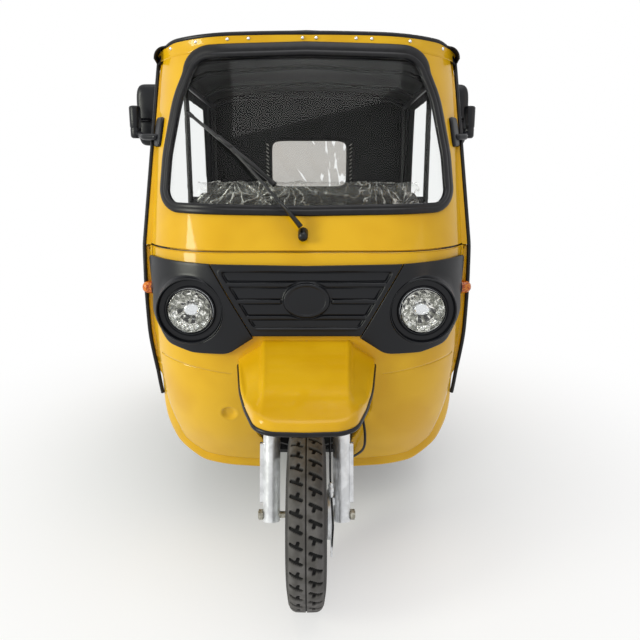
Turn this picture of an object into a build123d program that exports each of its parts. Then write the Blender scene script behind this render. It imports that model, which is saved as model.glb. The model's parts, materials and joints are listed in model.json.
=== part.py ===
from build123d import *
import os
from math import asin, cos, degrees, radians, sin, sqrt, tan

# Electric rickshaw with one steered front wheel, in millimetres, +Z up, its front facing -Y.
# Stations are distances behind the front axle. publish() moves every piece to the origin,
# which lies on the floor under the middle of the length.

# Whole vehicle
wheelbase = 2000.0
rear_overhang = 385.0
body_out = 625.0           # half-width over the rear body's sides
fit = 0.3                  # gap between pieces that rest on each other
swing_gap = 6.0            # gap round a lid

# Tyres and rims
tyre_radius = 265.0
tyre_half_width = 56.0
tyre_wall = 9.0
rim_radius = 152.0
rim_half_width = 44.0
rim_wall = 5.0
wheel_inset = 85.0         # rear wheel's middle inside the body's side
rear_wheel_x = body_out - wheel_inset
centre_station = (wheelbase + rear_overhang - tyre_radius) / 2

# Front fork; its own frame has the axle at the origin and Z up along the legs
rake = 17.0
fork_offset = 30.0         # steering axis behind the legs
leg_x = 106.0
leg_radius = 26.0
leg_foot = 18.0            # leg below the axle
leg_length = 300.0
stanchion_radius = 17.0
crown_low, crown_high = 360.0, 395.0
crown_half_width = 135.0
stem_radius = 16.0
stem_top = 800.0
front_axle_radius = 10.0
well_radius = tyre_radius - 43.0
well_wall = 6.0
well_top = 480.0
well_low = 286.0           # height of the well's lower edge
head_tube_radius = 27.0
head_tube_top = 660.0
column_play = 5.5          # round the stem where it passes a wall
bearing_play = 0.06

# Handlebar
bar_radius = 11.0
bar_reach = 262.0
bar_back = 215.0
grip_radius = 16.0
grip_length = 120.0

# Front face: a flat middle with round corners in plan, set back with height by front_profile
corner_flat = 230.0
corner_radius = 300.0
cowl_wall = 18.0
flange_wide = 15.0
flange_set_back = 8.0
seam_z = 1040.0
seam_wide = 9.0
groove_deep = 7.0
screen_rake = 22.5
dimple_x, dimple_z = -250.0, 514.0
dimple_ball, dimple_deep = 95.0, 3.0
roof_z = 1704.0
# columns: height, station of the front face in the middle
front_profile = (
    (240.0, 338.0), (340.0, 276.0), (420.0, 226.0), (500.0, 188.0), (580.0, 160.0),
    (660.0, 142.5), (740.0, 132.0), (820.0, 127.5), (900.0, 128.5), (970.0, 136.5), (seam_z, 149.0),
)
# columns: x, height, corner radius, for the right half of each outline seen from the front
cab_outline = (
    (0.0, 275.0, 0.0), (165.0, 277.0, 200.0), (360.0, 296.0, 60.0), (440.0, 348.0, 60.0),
    (489.0, 500.0, 500.0), (514.0, 740.0, 900.0), (520.0, 1040.0, 900.0),
    (500.0, 1600.0, 600.0), (492.0, 1652.0, 22.0), (0.0, 1689.0, 0.0),
)
arch_outline = (
    (0.0, 200.0, 0.0), (150.0, 200.0, 0.0), (150.0, 396.0, 60.0), (204.0, 530.0, 90.0),
    (204.0, 716.0, 60.0), (0.0, 716.0, 0.0),
)
screen_outline = (
    (0.0, 1172.0, 0.0), (437.0, 1179.0, 42.0), (430.0, 1320.0, 300.0), (398.0, 1492.0, 300.0),
    (345.0, 1617.0, 62.0), (0.0, 1627.0, 0.0),
)
panel_outline = (
    (0.0, 1000.0, 0.0), (300.0, 1005.0, 0.0), (499.0, 1011.0, 12.0), (482.0, 900.0, 60.0),
    (486.0, 828.0, 60.0), (430.0, 748.0, 50.0), (347.0, 731.0, 80.0), (238.0, 733.0, 60.0),
    (153.0, 788.0, 20.0), (0.0, 788.0, 0.0),
)
grille_outline = ((0.0, 1020.0, 0.0), (297.0, 1020.0, 0.0), (160.0, 780.0, 0.0), (0.0, 780.0, 0.0))
slat_outline = ((0.0, 983.0, 0.0), (258.0, 983.0, 14.0), (161.0, 815.0, 14.0), (0.0, 815.0, 0.0))

# Windscreen and its rubber seal
glass_thick = 5.0
glass_depth = 6.0
glass_hold = 9.0           # glass edge inside the seal
seal_wide = 30.0
seal_proud = 7.0
seal_core = 13.0

# Black front mouldings and lamps
panel_proud = 12.0
panel_parting = 1.0
slat_heights = (943.0, 894.0, 846.0)
slat_half = 5.0
slat_deep = 8.0
slat_root = 2.0
louvre_heights = (968.0, 918.0, 870.0, 827.0)
louvre_half = 9.0
louvre_deep = 4.0
grille_floor = 2.0
boss_half = (69.0, 51.0)
boss_z = 898.0
boss_proud = 5.0
lamp_x, lamp_z = 351.0, 863.0
lamp_station = 138.0
lens_radius = 73.0
lens_dome = 14.0
lens_thick = 4.0
bezel_radius = 93.0
bezel_proud = 11.0
bowl_wall = 5.0
bowl_deep = 95.0
pod_radius = 101.0
indicator_radius = 17.0
indicator_root, indicator_end = 487.0, 556.0
indicator_z = 896.0

# Front mudguard, fixed to the apron
guard_wall = 4.0
guard_front = -242.0
guard_back = 150.0
guard_plateau = 118.0
guard_step = 16.0
guard_side_drop = 62.0
guard_nose_z = 664.0
guard_rise = 0.328         # height gained for each millimetre rearwards
guard_low_front, guard_low_back = 638.0, 700.0
# columns: half-width, station of the mudguard's edge seen from above
guard_plan = ((95.0, -237.0), (130.0, -213.0), (157.0, -139.0), (182.0, -46.0), (204.0, 110.0))
bead_radius = 5.0

# Floor, frame and head of the vehicle
floor_top = 330.0
floor_wall = 12.0
floor_front = 300.0
rail_x = 280.0
rail_wide = 50.0
rail_high = 60.0
rail_front = 352.0
kick_station = wheelbase - 355.0
kick_long = 100.0          # the rails rise over the rear axle in this length
kick_lead = 30.0           # their top edge starts to rise this much earlier
frame_end = 30.0           # from the rails' ends to the rear panel's outside
cross_wide = 40.0
cross_drop = 12.0          # cross members are this much shallower than the rails
strut_radius = 16.0
strut_x, strut_station = 130.0, 440.0
tie_bore = 12.0
tie_station = 700.0

# Rear running gear
axle_radius = 35.0
stub_radius = 16.0
hub_gap = 6.0              # brake plate to drum
plate_thick = 9.0
plate_radius = 95.0
spring_half = 250.0
spring_rise = 36.0
spring_wide = 44.0
leaf_thick = 7.0
leaf_count = 4
leaf_step = 0.2            # each leaf is shorter than the one above by this share
hanger_high = 16.0
hanger_wide, hanger_long = 50.0, 30.0
bumper_radius = 18.0
bumper_z = 405.0
bumper_sweep = 70.0

# Heights and stations of the rear body
body_wall = 20.0
rear_inside = body_out - body_wall - fit
axle_top = tyre_radius + axle_radius
eye_z = axle_top + fit + leaf_thick * leaf_count + spring_rise
rail_low = floor_top - floor_wall - rail_high
rear_rail_low = eye_z + hanger_high
wheel_bump = 90.0          # rear tyre's top to the top of its housing
body_low = 340.0
body_top = 950.0
body_front = wheelbase - 400.0
body_back = wheelbase + 330.0
arch_radius = tyre_radius + 50.0
flare_out = body_out + 20.0
flare_wide = 24.0
box_wall = 12.0
boot_floor = rear_rail_low + rail_high + fit + box_wall
wheelhouse_x = rear_wheel_x - tyre_half_width - 14.0
wheelhouse_wall = 8.0

# Rear panel, lid and lamps
panel_low = 430.0
lid_half_wide = 344.0
lid_low, lid_high = 506.0, 844.0
lid_thick = 22.0
lid_corner = 18.0
hinge_radius = 5.0
hinge_x = 230.0
knuckle_long = 36.0
pin_radius, pin_play = 2.5, 0.06
leaf_half, leaf_high, leaf_plate = 18.0, 34.0, 4.0
handle_half, handle_high, handle_deep = 60.0, 22.0, 22.0
plate_pitch, plate_z = 150.0, 465.0
plate_hole_radius = 3.5
tail_lamp = (90.0, 30.0, 170.0)
tail_lamp_x, tail_lamp_z = body_out - 125.0, 780.0

# Roof and its frame; columns: half-width, edge height, crown height, edge radius
front_roof = (512.0, 1670.0, 1704.0, 30.0)
rear_roof = (body_out - 3.0, 1672.0, 1720.0, 90.0)
canopy_wall = 10.0
canopy_front = 426.0
canopy_back = body_back
canopy_low = body_top
front_sweep = 84.0
plan_half = rear_roof[0] + 38.0
lip_z, lip_back = 1606.0, 640.0
valance_z, valance_front = 1580.0, 760.0
quarter_station = wheelbase + 60.0
quarter_bevel = 60.0
window_half_wide = 250.0
window_low, window_high = 1130.0, 1430.0
window_lap = 14.0
window_thick = 3.0
frame_tube = 12.5
bow_tube = 10.0
post_tube = 11.5
rail_inset = 26.0          # side tube's centre inside the canopy's wall
roof_tube_front = 540.0
roof_low = front_roof[1] - canopy_wall - frame_tube - 33.0
bow_rise, bow_lead = 42.0, 90.0
bow_crown = 68.0           # bow's middle above the side tubes
post_station = 1055.0
rear_post_station = wheelbase + 240.0

# Seats
cushion_low = 2 * tyre_radius + wheel_bump
cushion_thick = 102.0
cushion_high = cushion_low + cushion_thick
cushion_corner = 26.0
driver_seat_stations = (560.0, 960.0)
driver_seat_half = 420.0
seat_box_inset = 20.0
box_top = cushion_low - 10.0
backrest_low, backrest_top = cushion_high + 38.0, 1194.0
backrest_thick = 68.0
backrest_gap = 6.0
partition_thick = 15.0
partition_top = 1150.0
passenger_seat_stations = (wheelbase - 430.0, wheelbase + 40.0)
passenger_seat_half = rear_inside - 14.7
passenger_back_top = 1140.0
passenger_back_thick = 74.0
passenger_back_lean = 40.0
board_thick = 12.0
battery_half, battery_long, battery_high = 290.0, 250.0, 130.0

# Dashboard and brake pedal
dash_half = 480.0
dash_low, dash_high, dash_back = 880.0, 985.0, 345.0
dash_wall, dash_lip = 14.0, 15.0
pedal_x = 196.0
pedal_wide = 14.0

# Mirrors; columns: side, x and height of the mirror's middle
mirror_rows = ((-1, 580.0, 1462.0), (1, 545.0, 1468.0))
mirror_station = 662.0
mirror_size = (120.0, 215.0)
mirror_corner = 50.0
mirror_deep, mirror_recess, mirror_rim = 34.0, 12.0, 6.0
mirror_glass = 6.0
mirror_arm_z = 1400.0
mirror_arm_radius = 7.0
bracket_half, bracket_long = 43.0, 45.0

# Wiper; columns: x, height, distance in front of the glass
blade_rows = ((-366.0, 1447.0, 9.0), (-300.0, 1394.0, 9.0), (-230.0, 1338.0, 9.0), (-95.0, 1230.0, 9.0))
arm_rows = ((-10.0, 1097.0, 34.0), (-60.0, 1150.0, 38.0), (-225.0, 1330.0, 22.0), (-240.0, 1346.0, 9.0))
blade_radius, arm_radius, spindle_radius = 3.5, 4.0, 10.0


def block(x, y, z):
    """Box between two limits on each axis."""
    size = Box(x[1] - x[0], y[1] - y[0], z[1] - z[0])
    return Pos((x[0] + x[1]) / 2, (y[0] + y[1]) / 2, (z[0] + z[1]) / 2) * size


def outline(points, radius=0.0):
    """Closed face through points in space, its corners rounded."""
    if radius:
        return make_face(FilletPolyline(*points, radius=radius, close=True))
    return make_face(Polyline(*points, close=True))


def side_prism(points, x, radius=0.0):
    """Outline of (station, height) points carried from x[0] to x[1]."""
    face = outline([(x[0], station, height) for station, height in points], radius)
    return extrude(face, amount=x[1] - x[0], dir=(1, 0, 0))


def plan_prism(points, z, radius=0.0):
    """Outline of (x, station) points carried from z[0] to z[1]."""
    face = outline([(side, station, z[0]) for side, station in points], radius)
    return extrude(face, amount=z[1] - z[0], dir=(0, 0, 1))


def upright(x, station, height):
    """Plane that faces the front, its Y axis pointing up."""
    return Plane(origin=(x, station, height), x_dir=(1, 0, 0), z_dir=(0, -1, 0))


def front_prism(half, stations, grow=0.0):
    """Symmetric outline seen from the front, from its right half, grown and carried rearwards."""
    left = [(-x, z, r) for x, z, r in reversed(half) if x > 0]
    rows = list(half) + left
    wire = FilletPolyline(*[(x, z) for x, z, r in rows], radius=[r for x, z, r in rows], close=True)
    face = make_face(wire)
    if grow:
        face = offset(face, amount=grow)
    placed = upright(0, stations[0], 0) * face
    return extrude(placed, amount=stations[1] - stations[0], dir=(0, 1, 0))


def both(shape):
    """A piece and its mirror image on the other side."""
    return shape + mirror(shape, about=Plane.YZ)


def common(first, *others):
    """What several shapes share, as one shape even where it falls into separate solids."""
    for other in others:
        first = Part() + (first & other)
    return first


def bar(points, radius, bend=0.0):
    """Round bar along a line of points with bent corners."""
    path = FilletPolyline(*points, radius=bend) if bend else Polyline(*points)
    section = Plane(origin=path @ 0, z_dir=path % 0) * Circle(radius)
    return sweep(section, path=path)


def turned(points, radius=0.0):
    """Profile of (radius, height) points turned about the Z axis."""
    return revolve(outline([(r, 0, h) for r, h in points], radius), axis=Axis.Z)


def standing(radius, height):
    """Cylinder that stands on its own origin."""
    return Cylinder(radius, height, align=(Align.CENTER, Align.CENTER, Align.MIN))


def along_x(shape, x, station, height):
    """A turned piece laid with its axis along X."""
    return Pos(x, station, height) * Rot(0, 90, 0) * shape


def facing_front(shape, x, station, height):
    """A turned piece laid with its axis pointing forwards."""
    return Pos(x, station, height) * Rot(90, 0, 0) * shape


def between(table, key):
    """Straight interpolation in a table of (key, value) rows, carried on past its ends."""
    rows = list(table)
    for low, high in zip(rows, rows[1:]):
        if key <= high[0]:
            break
    share = (key - low[0]) / (high[0] - low[0])
    return low[1] + share * (high[1] - low[1])


def face_station(height):
    """Station of the front face in the middle."""
    if height > seam_z:
        return front_profile[-1][1] + (height - seam_z) * tan(radians(screen_rake))
    return between(front_profile, height)


def corner_depth(x):
    """How far the front face lies back at x."""
    side = max(0.0, min(abs(x), corner_flat + corner_radius) - corner_flat)
    return corner_radius - sqrt(corner_radius**2 - side**2)


def cab_half_width(height):
    """Half-width of the cab's outline at a height on its side."""
    return between([(z, x) for x, z, r in cab_outline[3:9]], height)


# The space behind the front face

space_x = 900.0
space_back = 2600.0
flange_turn = degrees(asin((500.0 - corner_flat) / corner_radius))


def cab_section(height, station, inset, turn):
    """Plan of the space behind the front face: flat middle, corner arcs, then straight out."""
    radius = corner_radius - inset
    middle = station + inset
    end = (corner_flat + radius * sin(radians(turn)), station + corner_radius - radius * cos(radians(turn)))
    mid = (
        corner_flat + radius * sin(radians(turn / 2)),
        station + corner_radius - radius * cos(radians(turn / 2)),
    )
    edges = [
        Line((-corner_flat, middle, height), (corner_flat, middle, height)),
        ThreePointArc((corner_flat, middle, height), (*mid, height), (*end, height)),
        Polyline(
            (*end, height), (space_x, end[1], height), (space_x, station + space_back, height),
            (-space_x, station + space_back, height), (-space_x, end[1], height), (-end[0], end[1], height),
        ),
        ThreePointArc(
            (-end[0], end[1], height), (-mid[0], mid[1], height), (-corner_flat, middle, height)
        ),
    ]
    return make_face(edges)


def lower_form(section):
    """A plan section carried up the curved front face to the seam."""
    return loft([section(height, station) for height, station in front_profile], ruled=True)


def upper_form(section):
    """A plan section carried up from the seam, leaning back by the screen's rake."""
    slope = radians(screen_rake)
    length = (roof_z + 100 - seam_z) / cos(slope)
    base = section(seam_z, face_station(seam_z))
    return extrude(base, amount=length, dir=(0, sin(slope), cos(slope)))


def space(form, inset, turn=90.0):
    """All that lies behind the front face set back by an inset."""
    return form(lambda height, station: cab_section(height, station, inset, turn))


def band(form, outer, inner, turn=90.0):
    """Skin of the front face between two insets."""
    return form(
        lambda height, station: cab_section(height, station, outer, turn)
        - cab_section(height, station, inner, turn)
    )


fork = Location((0, 0, tyre_radius), (-rake, 0, 0))


def axis_point(length):
    """Station and height of a point on the steering axis."""
    angle = radians(rake)
    station = length * sin(angle) + fork_offset * cos(angle)
    return station, tyre_radius + length * cos(angle) - fork_offset * sin(angle)


parts = {}


def publish(name, shape):
    """Write one piece, moved from stations to the origin."""
    os.makedirs("parts", exist_ok=True)
    parts[name] = Pos(0, -centre_station, 0) * shape
    export_step(parts[name], f"parts/{name}.step")


# Front cab

lower_inner = space(lower_form, cowl_wall + fit)
upper_inner = space(upper_form, cowl_wall + fit)
lower_face = space(lower_form, -fit)
upper_face = space(upper_form, -fit)
deep = (-200.0, 900.0)
skin_prism = front_prism(cab_outline, deep, -flange_wide)
cab_prism = front_prism(cab_outline, deep)
lamp_hole = both(facing_front(Cylinder(lens_radius + bowl_wall + fit, 400), lamp_x, lamp_station, lamp_z))

counterbore = facing_front(Pos(0, 0, 100) * Cylinder(bezel_radius + 2, 200), lamp_x, lamp_station, lamp_z)


def cowl(form, z):
    """Wall of the cab between two heights: skin, set-back flange and half of the seam groove."""
    skin = common(band(form, 0, cowl_wall), skin_prism)
    flange = common(band(form, flange_set_back, flange_set_back * 2, flange_turn), cab_prism)
    groove = common(
        band(form, -2, groove_deep),
        block((-700, 700), deep, (seam_z - seam_wide / 2, seam_z + seam_wide / 2)),
    )
    return common(skin + flange, block((-700, 700), (-200, 1200), z)) - groove


arch_prism = front_prism(arch_outline, deep)
head_room = fork * Pos(0, fork_offset, well_top) * standing(head_tube_radius + fit, head_tube_top)
stem_room = fork * Pos(0, fork_offset, 0) * Cylinder(stem_radius + column_play, 2 * well_top)
cowl_lower = cowl(lower_form, (200, seam_z)) - arch_prism - lamp_hole
cowl_lower = cowl_lower - both(counterbore) - head_room - stem_room
dimple_centre = face_station(dimple_z) - dimple_ball + dimple_deep
cowl_lower -= Pos(dimple_x, dimple_centre, dimple_z) * Sphere(dimple_ball)
publish("cowl_lower", cowl_lower)

screen_hole = front_prism(screen_outline, deep, seal_core)
cowl_upper = cowl(upper_form, (seam_z + fit, roof_z)) - screen_hole
publish("cowl_upper", cowl_upper)

glass_prism = front_prism(screen_outline, deep, glass_hold)
windscreen = common(band(upper_form, glass_depth, glass_depth + glass_thick), glass_prism)
publish("windscreen_glass", windscreen)

seal_lip = common(band(upper_form, -seal_proud, -fit), front_prism(screen_outline, deep, seal_wide))
seal_body = common(band(upper_form, -fit, cowl_wall), front_prism(screen_outline, deep, seal_core - fit))
seal_groove = common(
    band(upper_form, glass_depth - fit, glass_depth + glass_thick + fit),
    front_prism(screen_outline, deep, glass_hold + fit),
)
publish("windscreen_seal", (seal_lip + seal_body) - front_prism(screen_outline, deep) - seal_groove)

# Black mouldings on the front

panel_root = 5.0           # forms start this far behind the face and are then trimmed to it
whole_panel = common(band(lower_form, -panel_proud - fit, panel_root), front_prism(panel_outline, deep))
pod = facing_front(Pos(0, 0, -60) * Cylinder(pod_radius, 120), lamp_x, lamp_station, lamp_z)
lamp_panels = whole_panel - front_prism(grille_outline, deep, panel_parting) + both(pod)
publish("headlamp_panels", lamp_panels - lower_face - both(counterbore) - lamp_hole)

slat_prism = front_prism(slat_outline, deep)
grille = common(whole_panel, front_prism(grille_outline, deep)) - slat_prism
grille += common(band(lower_form, -fit - grille_floor, panel_root), slat_prism)


def cross_bars(heights, half, deep_out, root):
    """Bars across the grille's recess, each standing out from its floor."""
    bars = Part()
    for height in heights:
        bars += block((-space_x, space_x), deep, (height - half, height + half))
    return common(band(lower_form, -grille_floor - deep_out, root), bars, front_prism(slat_outline, deep, root))


boss = Pos(0, 150, boss_z) * Rot(90, 0, 0) * extrude(Ellipse(*boss_half), amount=150, both=True)
grille += cross_bars(slat_heights, slat_half, slat_deep, slat_root)
grille += cross_bars(louvre_heights, louvre_half, louvre_deep, slat_root * 0.75)
grille += common(band(lower_form, -panel_proud - boss_proud, slat_root / 2), boss)
publish("grille_panel", grille - lower_face)

bezel_rows = (
    (lens_radius, 0.0), (lens_radius + 5, bezel_proud), (bezel_radius - 5, bezel_proud),
    (bezel_radius, bezel_proud - 6), (bezel_radius, fit),
    (lens_radius + bowl_wall, fit), (lens_radius + bowl_wall, -bowl_deep / 2), (30.0, -bowl_deep),
    (0.0, -bowl_deep), (0.0, 3 - bowl_deep), (28.0, 3 - bowl_deep), (lens_radius, -bowl_deep / 2),
)
shell = turned(bezel_rows)
publish("headlamp_shells", both(facing_front(shell, lamp_x, lamp_station, lamp_z)))
lens_rows = (
    (0.0, lens_dome), (lens_radius * 0.6, lens_dome - 3.5), (lens_radius - 4, 3.0),
    (lens_radius - fit, 0.0), (lens_radius - fit, -lens_thick), (0.0, lens_dome - lens_thick - 4),
)
publish("headlamp_lenses", both(facing_front(turned(lens_rows), lamp_x, lamp_station, lamp_z)))

indicator_station = face_station(indicator_z) + corner_depth(495) - 12
indicator_long = indicator_end - indicator_root
stalk = Pos(0, 0, -indicator_long) * standing(indicator_radius, indicator_long)
stalk = fillet(stalk.edges().group_by(Axis.Z)[-1], 8)
indicator = along_x(stalk, indicator_end, indicator_station, indicator_z) - lower_face
publish("front_indicators", both(indicator))

# Black beading on the cab's edge

bead_rows = []
for height in (520.0, 740.0, 1040.0, 1560.0):
    half = cab_half_width(height)
    depth = min(corner_depth(half - flange_wide / 2), corner_depth(500)) + flange_set_back
    bead_rows.append((half + bead_radius + 0.6, face_station(height) + depth, height))
publish("door_edge_beading", both(bar(bead_rows, bead_radius, 300)))

# Front mudguard


def guard_solid(wall):
    """The mudguard's outer form, made smaller by a wall."""
    edge = [(half - wall, station) for half, station in guard_plan]
    edge[0] = (edge[0][0], edge[0][1] + wall)
    back = guard_back + 100
    points = edge + [(guard_plan[-1][0] - wall + 8, back)]
    points = points + [(-x, station) for x, station in reversed(points)]
    plan = plan_prism(points, (guard_low_front - 60, 900), 14)
    top_front = guard_nose_z - wall
    top_back = guard_nose_z + (back - guard_front) * guard_rise - wall
    low_front = guard_low_front - (wall * 3 if wall else 0)
    low_back = guard_low_back + 22 - (wall * 3 if wall else 0)
    side = side_prism(
        [(guard_front - 5, low_front), (back, low_back), (back, top_back), (guard_front - 5, top_front)],
        (-260, 260),
    )
    half_top = guard_plateau - wall / 2
    across = [
        (-260, -400), (260, -400), (260, -guard_step - guard_side_drop * 1.5),
        (half_top + 10, -guard_step), (half_top, 0), (-half_top, 0), (-half_top - 10, -guard_step),
        (-260, -guard_step - guard_side_drop * 1.5),
    ]
    start = guard_front - 40
    start_z = guard_nose_z - wall + (start - guard_front) * guard_rise
    face = outline([(x, start, start_z + drop) for x, drop in across])
    ridge = extrude(face, amount=600, dir=Vector(0, 1, guard_rise).normalized())
    return common(plan, side, ridge)


guard = guard_solid(0) - guard_solid(guard_wall)
guard = guard - lower_face - front_prism(panel_outline, deep, fit)
publish("front_mudguard", guard)

bead_line = []
for half, station in reversed(guard_plan):
    share = (station - guard_front + 5) / (guard_back + 100 - guard_front + 5)
    height = guard_low_front + share * (guard_low_back + 22 - guard_low_front)
    bead_line.append((half - 2, station + 2, height - bead_radius - fit))
bead_line = bead_line + [(-x, station, height) for x, station, height in reversed(bead_line)]
publish("mudguard_beading", bar(bead_line, bead_radius, 25))

# Wheel well round the steering axis

well_rows = (
    (well_radius, -100.0), (well_radius + well_wall, -100.0),
    (well_radius + well_wall, well_top + well_wall), (stem_radius + column_play, well_top + well_wall),
    (stem_radius + column_play, well_top), (well_radius, well_top),
)
well = fork * Pos(0, fork_offset, 0) * turned(well_rows)
well = common(well, block((-300, 300), (-300, 700), (well_low, 800)), lower_inner)
publish("wheel_well", well)

# Fork, handlebar and front brake

leg = Pos(leg_x, 0, -leg_foot) * standing(leg_radius, leg_length + leg_foot)
rib = Pos(leg_x + leg_radius - 3, 0, 0) * side_prism([(-9, 36), (9, 36), (9, 215), (-9, 215)], (0, 12), 5)
legs = both(leg + rib)
axle_bore = along_x(Cylinder(front_axle_radius + fit, 400), 0, 0, 0)
publish("fork_legs", fork * (legs - axle_bore))

stanchion = standing(stanchion_radius, crown_high + 8 - leg_length - fit)
crown_plan = [
    (crown_half_width, -24), (crown_half_width, 24), (40, 62), (-40, 62),
    (-crown_half_width, 24), (-crown_half_width, -24), (-60, -16), (60, -16),
]
crown = plan_prism(crown_plan, (crown_low, crown_high), 12)
crown += both(Pos(leg_x, 0, leg_length + fit) * stanchion)
crown += Pos(0, fork_offset, crown_low) * standing(stem_radius, stem_top - crown_low)
publish("fork_crown", fork * crown)

bar_z = stem_top + bar_radius + fit
clamp = Pos(0, fork_offset, bar_z) * Box(60, 46, 2 * bar_radius)
bar_points = [
    (-bar_reach - grip_length / 2, fork_offset + bar_back, bar_z + 20),
    (-bar_reach + grip_length / 2, fork_offset + bar_back - 30, bar_z + 30),
    (-110, fork_offset + 10, bar_z), (110, fork_offset + 10, bar_z),
    (bar_reach - grip_length / 2, fork_offset + bar_back - 30, bar_z + 30),
    (bar_reach + grip_length / 2, fork_offset + bar_back, bar_z + 20),
]
handlebar = bar(bar_points, bar_radius, 40) + clamp
grip_plane = Plane(origin=bar_points[-1], z_dir=Vector(*bar_points[-2]) - Vector(*bar_points[-1]))
grip = grip_plane * standing(grip_radius, grip_length)
handlebar += both(grip)
publish("handlebar", fork * handlebar)

axle_end = leg_x + leg_radius + 14
front_axle = along_x(Cylinder(front_axle_radius, 2 * axle_end), 0, 0, 0)
nut = extrude(RegularPolygon(16, 6), amount=12)
front_axle += both(along_x(nut, leg_x + leg_radius + fit, 0, 0))
publish("front_axle", fork * front_axle)

plate_x = 62.0
plate = along_x(Cylinder(72, 8), plate_x + 4, 0, 0) - axle_bore
plate += block((plate_x + 8, leg_x - leg_radius + 6), (-14, 14), (30, 52))
arm = Pos(plate_x + 12, -36, 30) * Box(8, 18, 24) + side_prism(
    [(-44, 40), (-30, 40), (-34, -112), (-46, -112)], (plate_x + 8.5, plate_x + 14), 4
)
publish("front_brake_plate", fork * (plate + arm - legs))

cable_points = [
    (plate_x + 11, -40, -100), (plate_x + 16, -52, -20), (plate_x + 8, -44, 120),
    (plate_x + 8, -20, 280), (plate_x + 2, 6, crown_low - 4),
]
publish("brake_cable", fork * (bar(cable_points, 3, 70) - (plate + arm) - legs))

# Wheels

tyre_rows = [
    (rim_radius, -rim_half_width), (rim_radius + 45, -tyre_half_width),
    (tyre_radius - 16, -tyre_half_width + 7), (tyre_radius, -tyre_half_width + 34),
    (tyre_radius, tyre_half_width - 34), (tyre_radius - 16, tyre_half_width - 7),
    (rim_radius + 45, tyre_half_width), (rim_radius, rim_half_width),
    (rim_radius, rim_half_width - tyre_wall), (rim_radius + 45, tyre_half_width - tyre_wall),
    (tyre_radius - 28, tyre_half_width - 20), (tyre_radius - 28, -tyre_half_width + 20),
    (rim_radius + 45, -tyre_half_width + tyre_wall), (rim_radius, -rim_half_width + tyre_wall),
]
tyre = turned(tyre_rows)


def rim(bore, hub_half, drum):
    """Steel wheel: barrel with flanges, dished disc with slots, hub; drum is (radius, low, high)."""
    seat = rim_radius - fit
    lip = rim_half_width + 4.3
    rows = [
        (seat - rim_wall, -lip), (seat + 12, -lip - 3.7), (seat + 12, -lip), (seat, -lip + 3),
        (seat, -24), (seat - 14, -14), (seat - 14, 14), (seat, 24),
        (seat, lip - 3), (seat + 12, lip), (seat + 12, lip + 3.7), (seat - rim_wall, lip),
        (seat - rim_wall, 24), (seat - 14 - rim_wall, 12), (seat - 14 - rim_wall, -12), (seat - rim_wall, -24),
    ]
    wheel = turned(rows)
    disc = turned([
        (bore, -hub_half), (bore, hub_half), (32, hub_half), (36, 12), (90, 16), (110, 4), (seat - 16, 4),
        (seat - 16, -4), (108, -4), (88, 8), (36, 4), (32, -hub_half),
    ])
    slots = PolarLocations(112, 8) * Cylinder(11, 60)
    wheel = wheel + (disc - slots)
    return wheel + turned([(bore, drum[1]), (drum[0], drum[1]), (drum[0], drum[2]), (bore, drum[2])])


front_rim = rim(front_axle_radius + fit, 50, (78, 0, 56))
publish("front_tyre", along_x(tyre, 0, 0, tyre_radius))
publish("front_rim", along_x(front_rim, 0, 0, tyre_radius))
stub_radius = 16.0
rear_rim = rim(stub_radius + fit, 40, (95, -60, -4))
for side, name in ((-1, "right"), (1, "left")):
    turn = Rot(0, 0, 0) if side > 0 else Rot(0, 0, 180)
    place = Pos(side * rear_wheel_x, wheelbase, tyre_radius) * turn * Rot(0, 90, 0)
    publish(f"rear_tyre_{name}", place * tyre)
    publish(f"rear_rim_{name}", place * rear_rim)

# Wire that hangs beside the wheel arch, held at both ends

wire = [(168, 180, 700), (164, 166, 560), (176, 190, 440), (172, 246, 352), (152, 296, 300)]
publish("arch_wire", bar(wire, 3.5, 60))

# Frame and floor


def tilted_box(x, stations, z):
    """Board between two heights whose lower and upper stations differ; stations is (low, high, thick)."""
    low, high, thick = stations
    rows = [(low, z[0]), (low + thick, z[0]), (high + thick, z[1]), (high, z[1])]
    return side_prism(rows, x)


rail_rows = [
    (rail_front, rail_low), (kick_station, rail_low), (kick_station + kick_long, rear_rail_low),
    (body_back - frame_end, rear_rail_low), (body_back - frame_end, rear_rail_low + rail_high),
    (kick_station + kick_long - kick_lead, rear_rail_low + rail_high),
    (kick_station - kick_lead, rail_low + rail_high), (rail_front, rail_low + rail_high),
]
frame = both(side_prism(rail_rows, (rail_x - rail_wide / 2, rail_x + rail_wide / 2)))
# columns: station, half-length, underside of the rails there
cross_rows = (
    (400.0, 380.0, rail_low), (900.0, rear_inside - 60, rail_low),
    (body_front - 200, rear_inside - 30, rail_low),
    (wheelbase - 240, wheelhouse_x - 10, rear_rail_low),
    (wheelbase + 240, wheelhouse_x - 10, rear_rail_low),
)
for station, half, low in cross_rows:
    frame += block((-half, half), (station, station + cross_wide), (low + cross_drop, low + rail_high))
tube_foot = well_top + well_wall + fit
head = fork * Pos(0, fork_offset, tube_foot) * standing(head_tube_radius, head_tube_top - tube_foot)
head_station, head_z = axis_point((well_top + head_tube_top) / 2)
strut_rows = [
    (strut_x, strut_station, rail_low + rail_high - 20), (strut_x, strut_station + 30, head_z - 30),
    (20, head_station + 14, head_z),
]
frame += both(bar(strut_rows, strut_radius, 70)) + head
frame -= fork * Pos(0, fork_offset, 300) * Cylinder(stem_radius + bearing_play, 1400)
frame -= along_x(Cylinder(tie_bore, 1000), 0, tie_station, rail_low + rail_high / 2)
publish("chassis_frame", frame)

floor_back = body_front + box_wall
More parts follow.
